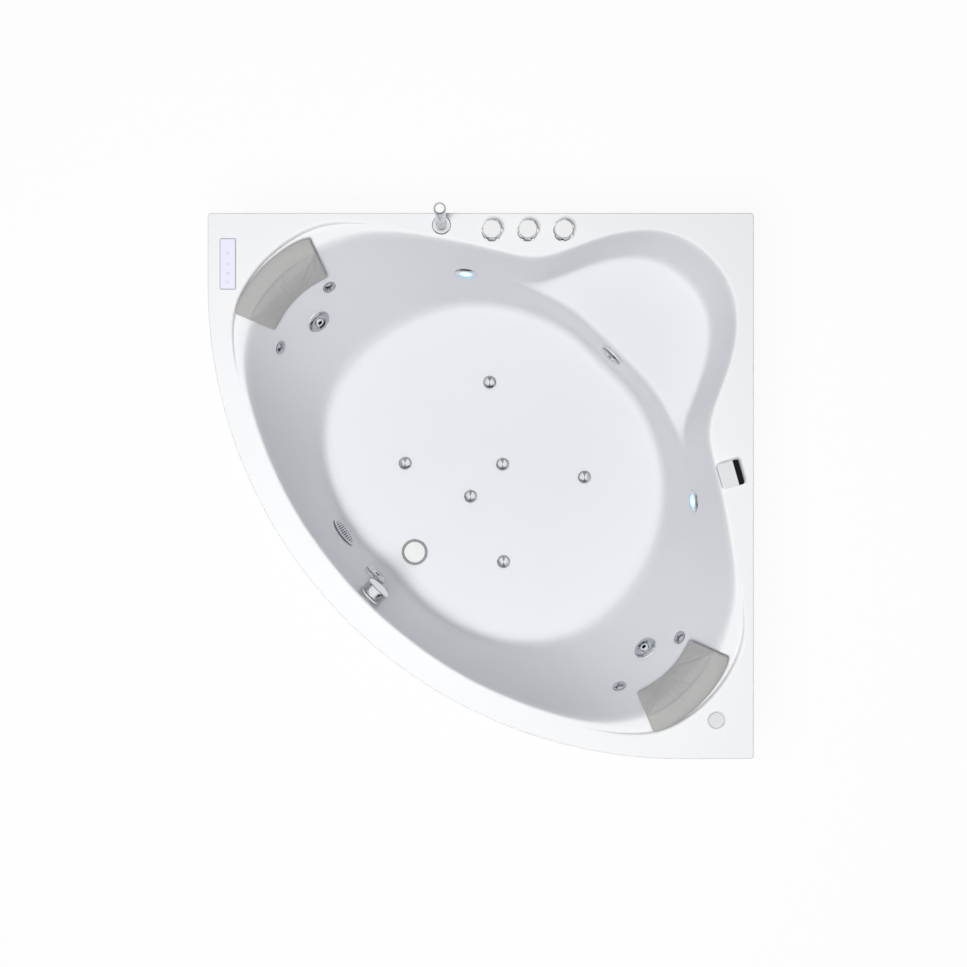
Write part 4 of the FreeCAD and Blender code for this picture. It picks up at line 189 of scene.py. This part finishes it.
def new_piece(name, mesh, material, body):
    """A piece of the scene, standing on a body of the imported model."""
    for polygon in mesh.polygons:
        polygon.use_smooth = True
    piece = bpy.data.objects.new(name, mesh)
    bpy.context.scene.collection.objects.link(piece)
    mesh.materials.append(material)
    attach(piece, body)
    return piece


def as_mesh(name, shape):
    mesh = bpy.data.meshes.new(name)
    shape.to_mesh(mesh)
    shape.free()
    return mesh


SEAM_REACH = 0.00002
SHARP_BEND = math.radians(32.0)

acrylic = finish("white_acrylic", shell_look, IOR=1.49, Coat_Weight=0.15, Coat_Roughness=0.12)
skin = bmesh.new()
sheet = frame["nodes"]["tub_shell"].data
spots = [skin.verts.new(vertex.co) for vertex in sheet.vertices]
for polygon in sheet.polygons:
    skin.faces.new([spots[index] for index in polygon.vertices])
bmesh.ops.remove_doubles(skin, verts=skin.verts, dist=SEAM_REACH)
for edge in skin.edges:
    edge.smooth = edge.is_manifold and edge.calc_face_angle() < SHARP_BEND
shell = new_piece("moulded_shell", as_mesh("moulded_shell", skin), acrylic, "bath")
shell.modifiers.new("even_shading", "WEIGHTED_NORMAL").keep_sharp = True
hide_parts("tub_shell")


# Front apron: a bowed panel of the same acrylic, formed over a mould and trimmed along its foot.
# Plated screws fix it to the frame, so that it comes off to reach the pump.
def apron_look(place):
    cloud = place.noise(2.4, 3.0)
    peel = place.noise(380.0, 1.0)
    scuffed = place.noise(26.0, 5.0).step(0.52, 0.70)
    low = place.part(2).step(0.16, 0.02)
    return {
        "Base Color": cloud.between((0.735, 0.740, 0.752), (0.760, 0.764, 0.774)),
        "Roughness": 0.10 + cloud * 0.08 + scuffed * low * 0.18,
        "Normal": peel.raised(0.00003),
    }


apron_acrylic = finish("apron_acrylic", apron_look, IOR=1.49, Coat_Weight=0.2, Coat_Roughness=0.05)
dress(apron_acrylic, "front_apron")


def plated_look(place):
    drawn = place.stretched((30.0, 30.0, 900.0)).noise(1.0, 2.0)
    patina = place.noise(45.0, 4.0)
    return {
        "Base Color": patina.between((0.500, 0.505, 0.510), (0.640, 0.640, 0.635)),
        "Roughness": 0.22 + patina * 0.20 + drawn * 0.08,
        "Normal": drawn.raised(0.00006),
    }


plated_steel = finish("plated_steel", plated_look, Metallic=1.0)
dress(plated_steel, "apron_screws")


# Support frame: square steel tube, welded and painted grey, under the deck and round the basin.
# A sheet of board glued under the basin spreads its load onto the rails, which stand on five
# plated feet that screw in and are held by lock nuts.
def frame_look(place):
    mottle = place.noise(18.0, 4.0)
    peel = place.noise(700.0, 2.0)
    scratched = place.stretched((40.0, 40.0, 9.0)).noise(6.0, 5.0).step(0.66, 0.72)
    grey = mottle.between((0.300, 0.310, 0.320), (0.380, 0.390, 0.400))
    return {
        "Base Color": scratched.between(grey, (0.210, 0.205, 0.200)),
        "Roughness": 0.38 + mottle * 0.20,
        "Normal": (peel * 0.4 - scratched * 0.6).raised(0.00015),
    }


dress(finish("frame_paint", frame_look, Coat_Weight=0.1), "support_frame")


def board_look(place):
    grain = place.stretched((6.0, 150.0, 60.0)).noise(1.0, 4.0)
    figure = place.stretched((1.5, 26.0, 12.0)).noise(1.0, 3.0)
    knots = place.noise(9.0, 2.0).step(0.68, 0.80)
    timber = figure.step(0.3, 0.7).between((0.380, 0.250, 0.130), (0.560, 0.400, 0.230))
    return {
        "Base Color": (knots * 0.6).between(timber, (0.240, 0.140, 0.070)),
        "Roughness": 0.55 + grain * 0.25,
        "Normal": grain.raised(0.0004),
    }


dress(finish("base_ply", board_look), "base_board")

FEET = [f"levelling_foot_{number}" for number in range(1, 6)]
dress(plated_steel, "foot_lock_nuts", *FEET)


# Jets: moulded bodies clamped through the wall, each with a chromed trim ring that turns and a
# chromed nozzle that swivels in it. The micro jets are small fixed ones of the same make.
def chrome_look(place):
    breath = place.noise(30.0, 5.0)
    spots = place.cells(160.0).step(0.16, 0.10) * place.noise(40.0).step(0.55, 0.70)
    return {
        "Base Color": breath.between((0.730, 0.738, 0.750), (0.790, 0.796, 0.806)),
        "Roughness": 0.045 + breath * 0.05 + spots * 0.10,
    }


chrome = finish("polished_chrome", chrome_look, Metallic=1.0)
JETS = ("left", "right", "seat", "front")
dress(chrome, *[f"jet_nozzle_{jet}" for jet in JETS])


def smoked_look(place):
    breath = place.noise(30.0, 5.0)
    lapped = place.stretched((500.0, 500.0, 900.0)).noise(1.0, 3.0)
    return {
        "Base Color": breath.between((0.440, 0.460, 0.490), (0.530, 0.550, 0.580)),
        "Roughness": 0.07 + lapped * 0.08,
    }


smoked_chrome = finish("smoked_chrome", smoked_look, Metallic=1.0)
dress(smoked_chrome, "micro_jet_faces", "micro_jet_bodies", *[f"jet_ring_{jet}" for jet in JETS])


def moulding_look(place):
    flow = place.noise(14.0, 3.0)
    grain = place.noise(900.0, 2.0)
    return {
        "Base Color": flow.between((0.770, 0.775, 0.780), (0.810, 0.815, 0.820)),
        "Roughness": 0.28 + flow * 0.16,
        "Normal": grain.raised(0.00005),
    }


white_moulding = finish("white_moulding", moulding_look, IOR=1.52)
dress(white_moulding, "main_jet_bodies", "floor_jet_bodies")


# Underwater lights: a chromed bezel clamped through the wall, round a clear moulded lens with a
# cold white lamp sealed in behind it.
LENS_PLACES = ((-0.0438, 0.6130, 0.3998), (0.6130, -0.0438, 0.3998))
LENS_RADIUS = 0.022


def lens_look(place):
    first, second = [place.vector("DISTANCE", spot, "Value") for spot in LENS_PLACES]
    off = first.math("MINIMUM", first, second) / LENS_RADIUS
    facets = place.cells(420.0)
    glow = off.node("ShaderNodeValToRGB", {"stops": [
        (0.0, (0.86, 0.95, 1.0)),
        (0.45, (0.50, 0.78, 1.0)),
        (1.0, (0.12, 0.33, 0.60)),
    ]}, {"Fac": off})
    return {
        "Base Color": off.between((0.700, 0.820, 0.900), (0.420, 0.600, 0.780)),
        "Emission Color": glow,
        "Roughness": 0.05 + facets * 0.15,
        "Normal": facets.raised(0.0003),
    }


dress(finish("lamp_lens", lens_look, Emission_Strength=0.95, IOR=1.5), "light_lenses")
dress(chrome, "light_housings")


# Suction and overflow: a slit chromed grille over a dark moulded body, and a chromed knob that
# turns to lift the plug.
def dark_moulding_look(place):
    flow = place.noise(14.0, 3.0)
    return {
        "Base Color": flow.between((0.030, 0.031, 0.034), (0.050, 0.051, 0.055)),
        "Roughness": 0.35 + flow * 0.2,
        "Normal": place.noise(900.0, 2.0).raised(0.00005),
    }


dress(finish("dark_moulding", dark_moulding_look), "suction_body")
dress(smoked_chrome, "suction_grille")
dress(chrome, "overflow_knob")
dress(white_moulding, "overflow_body")


# Floor jets: small domed caps of pressed and chromed sheet, snapped onto bodies that are clamped
# through the floor. Two wedges of each cap, where the air comes out, are painted dark as painted
# shade in the air slots, and a band of painted shade darkens the rim of each dome.
CAP_SPOTS = (
    (0.0260, 0.3120), (0.3120, 0.0260), (-0.2290, 0.0680), (0.0680, -0.2290),
    (0.0649, 0.0649), (-0.0320, -0.0320),
)
CAP_RADIUS = 0.0193
CAP_REACH = 1.2 * CAP_RADIUS
CAP_SHADE_BAND = (0.82 * CAP_RADIUS, 0.92 * CAP_RADIUS)
WEDGE_LENGTH = 0.80 * CAP_RADIUS
WEDGE_SPREAD = 0.42


def cap_look(place):
    slot_shades, rim_shade = None, None
    for spot in CAP_SPOTS:
        aside = place.vector("SUBTRACT", (*spot, 0.0)).vector("MULTIPLY", (1.0, 1.0, 0.0))
        off = aside.vector("LENGTH", (0.0, 0.0, 0.0), "Value")
        across, along = [aside.math("ABSOLUTE", aside.part(axis)) for axis in (0, 1)]
        slot_shade = (across < along * WEDGE_SPREAD) * (off < WEDGE_LENGTH)
        edge = off.step(*CAP_SHADE_BAND) * (off < CAP_REACH)
        slot_shades = slot_shade if slot_shades is None else slot_shades + slot_shade
        rim_shade = edge if rim_shade is None else rim_shade + edge
    breath = place.noise(60.0, 4.0)
    pressed = breath.between((0.740, 0.744, 0.748), (0.800, 0.803, 0.806))
    # Painted shade: the wedges over the air slots and a band round the rim of each dome are painted
    # darker.
    shaded = (slot_shades * 0.80).between(pressed, (0.240, 0.245, 0.250))
    return {
        "Base Color": (rim_shade * 0.50).between(shaded, (0.300, 0.305, 0.315)),
        "Roughness": 0.10 + breath * 0.08,
    }


dress(finish("pressed_caps", cap_look, Metallic=1.0), "floor_jet_caps")


# Waste: a satin flange clamped through the floor, a white enamelled plug with a metal edge whose
# grey is partly painted shade of the gap round the plug, and the trap and overflow pipe of white
# tube below.
def flange_look(place):
    turned = place.stretched((300.0, 300.0, 300.0)).noise(1.0, 3.0)
    return {
        "Base Color": turned.between((0.300, 0.305, 0.300), (0.380, 0.385, 0.380)),
        "Roughness": 0.22 + turned * 0.14,
    }


dress(finish("satin_flange", flange_look, Metallic=1.0), "drain_flange")

PLUG_SPOT = (-0.2003, -0.2003, 0.0)
PLUG_SHADE_RING = (0.0300, 0.0312)


def plug_look(place):
    level = place.vector("MULTIPLY", (1.0, 1.0, 0.0))
    edge = level.vector("DISTANCE", PLUG_SPOT, "Value").step(*PLUG_SHADE_RING)
    cloud = place.noise(40.0, 3.0)
    enamel = cloud.between((0.670, 0.674, 0.664), (0.710, 0.714, 0.704))
    return {
        # The plug's metal edge ring is greyed as painted shade of the gap between plug and flange.
        "Base Color": edge.between(enamel, (0.420, 0.425, 0.425)),
        "Metallic": edge,
        "Roughness": 0.20 + cloud * 0.10,
    }


dress(finish("plug_enamel", plug_look), "drain_plug")


def tube_look(place):
    flow = place.noise(7.0, 3.0)
    drawn = place.stretched((120.0, 120.0, 120.0)).noise(1.0, 4.0)
    return {
        "Base Color": flow.between((0.700, 0.700, 0.670), (0.760, 0.760, 0.740)),
        "Roughness": 0.32 + drawn * 0.18,
        "Normal": drawn.raised(0.0001),
    }


white_tube = finish("white_tube", tube_look, IOR=1.53)
dress(white_tube, "waste_trap")


# Taps: three chromed knobs on collars, over brass valves that hang under the deck and are joined
# by white tube.
def bright_look(place):
    breath = place.noise(24.0, 5.0)
    wiped = place.stretched((40.0, 260.0, 40.0)).noise(1.0, 4.0)
    return {
        "Base Color": breath.between((0.830, 0.834, 0.836), (0.870, 0.873, 0.875)),
        "Roughness": 0.05 + breath * 0.04 + wiped * 0.04,
    }


dress(finish("bright_chrome", bright_look, Metallic=1.0), "hot_knob", "cold_knob", "diverter_knob")
dress(smoked_chrome, "tap_escutcheons")


def brass_look(place):
    cast = place.noise(260.0, 4.0)
    tarnish = place.noise(35.0, 5.0)
    return {
        "Base Color": tarnish.between((0.420, 0.280, 0.110), (0.640, 0.470, 0.210)),
        "Roughness": 0.25 + tarnish * 0.25,
        "Normal": cast.raised(0.00012),
    }


dress(finish("raw_brass", brass_look, Metallic=1.0), "tap_valves")
dress(white_tube, "mixer_pipes")


# Hand shower: a slim chromed wand standing in a chromed deck holder, with a white spray face of
# soft nozzles let into its end.
dress(smoked_chrome, "hand_shower")
dress(chrome, "shower_holder")


def turned_rings(shape, outline, segments, place):
    """Faces turned about an axis: outline gives (radius, height), and place sets the rings down."""
    rings = []
    for radius, height in outline:
        angles = [math.tau * step / segments for step in range(segments)]
        spots = [Vector((radius * math.cos(a), radius * math.sin(a), height)) for a in angles]
        rings.append([shape.verts.new(place @ spot) for spot in spots])
    for low, high in zip(rings, rings[1:]):
        for step in range(segments):
            following = (step + 1) % segments
            shape.faces.new((low[step], low[following], high[following], high[step]))
    shape.faces.new(rings[-1])
    shape.faces.new(reversed(rings[0]))


END_REACH = 0.0005
SPRAY_RADIUS = 0.0118
SPRAY_RINGS = ((0.0, 1), (0.0042, 6), (0.0082, 12))
PLATE_SEGMENTS = 48
NOZZLE_SEGMENTS = 10
NOZZLE_SEAT = 0.0004
NOZZLE_OUTLINE = ((0.00105, -0.0004), (0.00105, 0.0005), (0.0008, 0.0009), (0.00035, 0.0009))
PLATE_OUTLINE = ((SPRAY_RADIUS, -0.0006), (SPRAY_RADIUS, 0.0002), (SPRAY_RADIUS - 0.0006, 0.0005))

lift = next(joint for joint in frame["joints"] if joint["name"] == "hand_shower_lift")
wand_axis = Vector(lift["axis"]).normalized()
wand = [vertex.co for vertex in frame["nodes"]["hand_shower"].data.vertices]
wand_end = max(point.dot(wand_axis) for point in wand)
end_points = [point for point in wand if wand_end - point.dot(wand_axis) < END_REACH]
end_middle = sum(end_points, Vector()) / len(end_points)
wand_turn = wand_axis.to_track_quat("Z", "Y").to_matrix().to_4x4()
spray_place = Matrix.Translation(end_middle) @ wand_turn

plate = bmesh.new()
turned_rings(plate, PLATE_OUTLINE, PLATE_SEGMENTS, spray_place)
for ring_radius, count in SPRAY_RINGS:
    for number in range(count):
        angle = math.tau * number / count
        spot = Vector((ring_radius * math.cos(angle), ring_radius * math.sin(angle), NOZZLE_SEAT))
        nozzle_place = spray_place @ Matrix.Translation(spot)
        turned_rings(plate, NOZZLE_OUTLINE, NOZZLE_SEGMENTS, nozzle_place)


def spray_look(place):
    flow = place.noise(60.0, 3.0)
    return {
        "Base Color": flow.between((0.780, 0.785, 0.790), (0.830, 0.832, 0.836)),
        "Roughness": 0.35 + flow * 0.15,
        "Normal": place.noise(1500.0).raised(0.00003),
    }


spray_white = finish("spray_white", spray_look)
new_piece("spray_face", as_mesh("spray_face", plate), spray_white, "hand_shower")


# Waterfall spout: a cast and chromed block bolted down on the deck, with a strip of gloss black
# acrylic let into its top.
dress(chrome, "waterfall_spout")


def black_look(place):
    haze = place.noise(50.0, 4.0)
    return {
        "Base Color": haze.between((0.004, 0.004, 0.005), (0.010, 0.010, 0.011)),
        "Roughness": 0.12 + haze * 0.12,
    }


dress(finish("gloss_black", black_look, Specular_IOR_Level=0.06), "spout_insert")


# Air regulator: a chromed collar clamped through the deck, with a chromed cap on it that turns to
# let air into the jets.
dress(chrome, "air_control_body", "air_control_cap")


# Control panel: a grey moulded frame let into the deck, with a pale glass face glued into it and
# touch marks printed on the back of the glass.
PANEL_MIDDLE = (-0.694, 0.609)
TOUCH_SPOTS = (0.030, 0.0, -0.026, -0.050)
TOUCH_RADIUS = 0.0032
TOUCH_LINE = 0.0006


def panel_look(place):
    level = place.vector("MULTIPLY", (1.0, 1.0, 0.0))
    ring = None
    for along in TOUCH_SPOTS:
        spot = (PANEL_MIDDLE[0], PANEL_MIDDLE[1] + along, 0.0)
        off = level.vector("DISTANCE", spot, "Value") - TOUCH_RADIUS
        line = off.math("ABSOLUTE", off) < TOUCH_LINE
        ring = line if ring is None else ring.math("MAXIMUM", ring, line)
    wiped = place.stretched((60.0, 9.0, 60.0)).noise(1.0, 4.0)
    pale = wiped.between((0.650, 0.662, 0.765), (0.690, 0.702, 0.800))
    return {
        "Base Color": ring.between(pale, (0.420, 0.440, 0.560)),
        "Roughness": 0.06 + wiped * 0.12,
    }


dress(finish("panel_glass", panel_look, IOR=1.5, Coat_Weight=0.3), "control_panel_glass")


def panel_frame_look(place):
    grain = place.noise(800.0, 2.0)
    flow = place.noise(20.0, 3.0)
    return {
        "Base Color": flow.between((0.300, 0.300, 0.350), (0.350, 0.350, 0.400)),
        "Roughness": 0.30 + flow * 0.15,
        "Normal": grain.raised(0.00006),
    }


dress(finish("panel_frame", panel_frame_look), "control_panel_housing")


# Lock nuts: black moulded nuts, screwed onto the tails of the fittings to clamp them from under
# the deck and behind the wall.
def fitting_look(place):
    grain = place.noise(1100.0, 2.0)
    bloom = place.noise(24.0, 4.0)
    return {
        "Base Color": bloom.between((0.018, 0.018, 0.020), (0.034, 0.034, 0.036)),
        "Roughness": 0.42 + bloom * 0.20,
        "Normal": grain.raised(0.00010),
    }


black_moulding = finish("black_moulding", fitting_look)
dress(black_moulding, "deck_lock_nuts", "wall_lock_nuts")


# Headrest pillows: soft foam in a grey skin with a fine leather grain, moulded as a bent wedge
# with a flatter top and a long face, and pressed onto the rim over the backrest.
PILLOW_DIRECTION = math.radians(45 + 90.2)
PILLOW_SHIFT = 0.0305
PILLOW_BEND = 0.385
PILLOW_RIDGE = 0.335
RIDGE_REACH = 0.016
VOXEL = 0.004
EASING = 0.5
EASING_ROUNDS = 3
SWELL = 0.005
UNDERSIDE = -0.15
PRESSURE = 4.0
LAST_FRAME = 20


def applied(piece):
    """The piece's mesh with its modifiers worked in."""
    graph = bpy.context.evaluated_depsgraph_get()
    mesh = bpy.data.meshes.new_from_object(piece.evaluated_get(graph))
    piece.modifiers.clear()
    piece.data = mesh
    return mesh


def swollen_pillow():
    """The left pillow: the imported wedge, swollen by its foam, held at its ridge and underside."""
    pillow = bpy.data.objects.new("pillow_blank", frame["nodes"]["pillow_left"].data.copy())
    bpy.context.scene.collection.objects.link(pillow)
    remesh = pillow.modifiers.new("even_mesh", "REMESH")
    remesh.mode = "VOXEL"
    remesh.voxel_size = VOXEL
    easing = pillow.modifiers.new("easing", "SMOOTH")
    easing.factor = EASING
    easing.iterations = EASING_ROUNDS
    mesh = applied(pillow)
    rest = [vertex.co.copy() for vertex in mesh.vertices]
    outward = Vector((math.cos(PILLOW_DIRECTION), math.sin(PILLOW_DIRECTION), 0.0))
    middle = Vector((*BASIN_MIDDLE, 0.0))
    reach = max((point - middle).dot(outward) for point in rest)
    along = Vector((-outward.y, outward.x, 0.0))
    axis = middle + along * PILLOW_SHIFT + outward * (reach - PILLOW_BEND)
    shares = []
    held = pillow.vertex_groups.new(name="held")
    for vertex in mesh.vertices:
        off = abs((vertex.co - axis).to_2d().length - PILLOW_RIDGE)
        resting = vertex.normal.z < UNDERSIDE
        shares.append(0.0 if resting else min(1.0, off / RIDGE_REACH))
        if resting:
            held.add([vertex.index], 1.0, "REPLACE")
    cloth = pillow.modifiers.new("skin", "CLOTH")
    cloth.settings.use_pressure = True
    cloth.settings.uniform_pressure_force = PRESSURE
    cloth.settings.effector_weights.gravity = 0.0
    cloth.settings.vertex_group_mass = held.name
    scene = bpy.context.scene
    for number in range(1, LAST_FRAME + 1):
        scene.frame_set(number)
    mesh = applied(pillow)
    scene.frame_set(1)
    for vertex, start, share in zip(mesh.vertices, rest, shares):
        move = vertex.co - start
        limit = SWELL * share
        if move.length > limit:
            vertex.co = start + move.normalized() * limit
    rounding = pillow.modifiers.new("rounding", "SUBSURF")
    rounding.levels = 1
    rounding.render_levels = 1
    mesh = applied(pillow)
    bpy.data.objects.remove(pillow)
    return mesh


def pillow_look(place):
    grain = place.cells(620.0, "DISTANCE_TO_EDGE").step(0.02, 0.22)
    pores = place.noise(2400.0, 2.0)
    rubbed = place.noise(13.0, 4.0)
    grey = rubbed.between((0.400, 0.398, 0.390), (0.448, 0.446, 0.438))
    return {
        "Base Color": (grain * 0.5 + 0.5).between((0.300, 0.298, 0.291), grey),
        "Roughness": 0.52 + rubbed * 0.16,
        "Normal": (grain * 0.8 + pores * 0.2).raised(0.00025),
    }


pillow_skin = finish("pillow_skin", pillow_look, Sheen_Weight=0.15)
left_pillow = swollen_pillow()
right_pillow = left_pillow.copy()
swap = Matrix(((0, 1, 0, 0), (1, 0, 0, 0), (0, 0, 1, 0), (0, 0, 0, 1)))
right_pillow.transform(swap)
right_pillow.flip_normals()
for side, mesh in (("left", left_pillow), ("right", right_pillow)):
    mesh.materials.clear()
    pad = new_piece(f"headrest_{side}", mesh, pillow_skin, "bath")
    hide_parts(f"pillow_{side}")


# Pump and blower: a black moulded wet end on a finned motor of painted cast metal, and a moulded
# blower shell; a matt box beside them holds the switching.
dress(black_moulding, "pump_volute", "blower_housing")
dress(plated_steel, "pump_rotor", "blower_rotor")


def motor_look(place):
    cast = place.noise(420.0, 4.0)
    worn = place.noise(28.0, 5.0)
    return {
        "Base Color": worn.between((0.150, 0.165, 0.185), (0.205, 0.220, 0.245)),
        "Roughness": 0.40 + worn * 0.20,
        "Normal": cast.raised(0.0003),
    }


dress(finish("motor_paint", motor_look, Metallic=0.2), "pump_motor")


def box_look(place):
    grain = place.noise(600.0, 3.0)
    flow = place.noise(10.0, 3.0)
    return {
        "Base Color": flow.between((0.490, 0.500, 0.510), (0.540, 0.550, 0.560)),
        "Roughness": 0.48 + grain * 0.15,
        "Normal": grain.raised(0.00025),
    }


dress(finish("switch_box", box_look), "control_box")


# Pipes: rigid white tube with glued elbows between the pump and the jets, and softer pale hose,
# pushed on over barbs, for the air.
dress(white_tube, "pressure_pipe", "suction_pipe")


def hose_look(place):
    spiral = place.noise(8.0, 3.0)
    return {
        "Base Color": spiral.between((0.560, 0.600, 0.630), (0.640, 0.670, 0.690)),
        "Roughness": 0.24 + spiral * 0.20,
        "Normal": place.noise(300.0, 2.0).raised(0.00015),
    }


dress(finish("pale_hose", hose_look, Subsurface_Weight=0.1, IOR=1.45), "air_pipe")


# Studio: a white floor, an even white surround, a broad lamp over the bowed front, and the
# camera straight above.
FLOOR_HALF = 9.0
FLOOR_LEVEL = -0.0004
FLOOR_CORNERS = ((-1, -1), (1, -1), (1, 1), (-1, 1))

floor_shape = bmesh.new()
floor_spots = [(x * FLOOR_HALF, y * FLOOR_HALF, FLOOR_LEVEL) for x, y in FLOOR_CORNERS]
floor_shape.faces.new([floor_shape.verts.new(spot) for spot in floor_spots])
floor = bpy.data.objects.new("floor", as_mesh("floor", floor_shape))
bpy.context.scene.collection.objects.link(floor)

BACKDROP = 0.94
floor_paint = bpy.data.materials.new("floor_paint")
floor_paint.use_nodes = True
paint = floor_paint.node_tree
paint.nodes.clear()
start = Shade(paint)
camera_ray = start.node("ShaderNodeLightPath", out="Is Camera Ray")
glossy_ray = start.node("ShaderNodeLightPath", out="Is Glossy Ray")
clear_ray = start.node("ShaderNodeLightPath", out="Is Transmission Ray")
seen = start.math("MINIMUM", camera_ray + glossy_ray + clear_ray, 1.0) * BACKDROP
matt = start.node("ShaderNodeBsdfDiffuse", None, {"Color": (0.82, 0.82, 0.82, 1.0)})
white = start.node("ShaderNodeEmission", None, {"Color": (1.0, 1.0, 1.0, 1.0), "Strength": 1.0})
cover = start.node("ShaderNodeMixShader", None, {0: seen, 1: matt, 2: white})
start.node("ShaderNodeOutputMaterial", None, {"Surface": cover}, None)
floor.data.materials.append(floor_paint)

AMBIENT = (0.165, 0.171, 0.192)
world = bpy.data.worlds.new("studio")
bpy.context.scene.world = world
world.use_nodes = True
sky = Shade(world.node_tree)
way = sky.node("ShaderNodeTexCoord", out="Generated")
height = way.part(2)
walls = height.node("ShaderNodeValToRGB", {"stops": [
    (0.0, (0.55, 0.55, 0.57)),
    (0.10, (0.10, 0.10, 0.11)),
    (0.38, (0.16, 0.16, 0.18)),
    (0.56, (0.92, 0.92, 0.94)),
    (1.0, (1.0, 1.0, 1.0)),
]}, {"Fac": height})
flag = (0.0 - way.part(1)).step(0.20, 0.60) * height.step(0.86, 0.60)
cards = flag.between(walls, (0.035, 0.035, 0.040))
mirrored = sky.node("ShaderNodeLightPath", out="Is Glossy Ray")
through = sky.node("ShaderNodeLightPath", out="Is Transmission Ray")
direct = sky.node("ShaderNodeLightPath", out="Is Camera Ray")
surround = sky.math("MINIMUM", mirrored + through, 1.0).between(AMBIENT, cards)
backdrop = direct.between(surround, (1.0, 1.0, 1.0))
world.node_tree.links.new(backdrop.socket, world.node_tree.nodes["Background"].inputs["Color"])


LAMP_PLACE = Vector((-0.58, -0.58, 5.3))
LAMP_AIM = Vector((0.0, 0.0, 0.4))
LAMP_WIDTH = 1.6
LAMP_POWER = 265.0
LAMP_COLOUR = (1.0, 0.997, 0.99)

lamp = bpy.data.lights.new("key", "AREA")
lamp.shape = "DISK"
lamp.size = LAMP_WIDTH
lamp.energy = LAMP_POWER
lamp.color = LAMP_COLOUR
stand = bpy.data.objects.new("key", lamp)
stand.location = LAMP_PLACE
stand.rotation_mode = "QUATERNION"
stand.rotation_quaternion = (LAMP_AIM - LAMP_PLACE).to_track_quat("-Z", "Y")
stand.visible_camera = False
stand.visible_glossy = False
bpy.context.scene.collection.objects.link(stand)

camera = bpy.data.cameras.new("camera")
camera.sensor_width = 36.0
camera.lens = 61.03
camera.clip_end = 60.0
viewer = bpy.data.objects.new("camera", camera)
viewer.location = (0.0075, 0.0069, 5.120)
bpy.context.scene.collection.objects.link(viewer)
bpy.context.scene.camera = viewer
bpy.context.scene.view_settings.view_transform = "Standard"
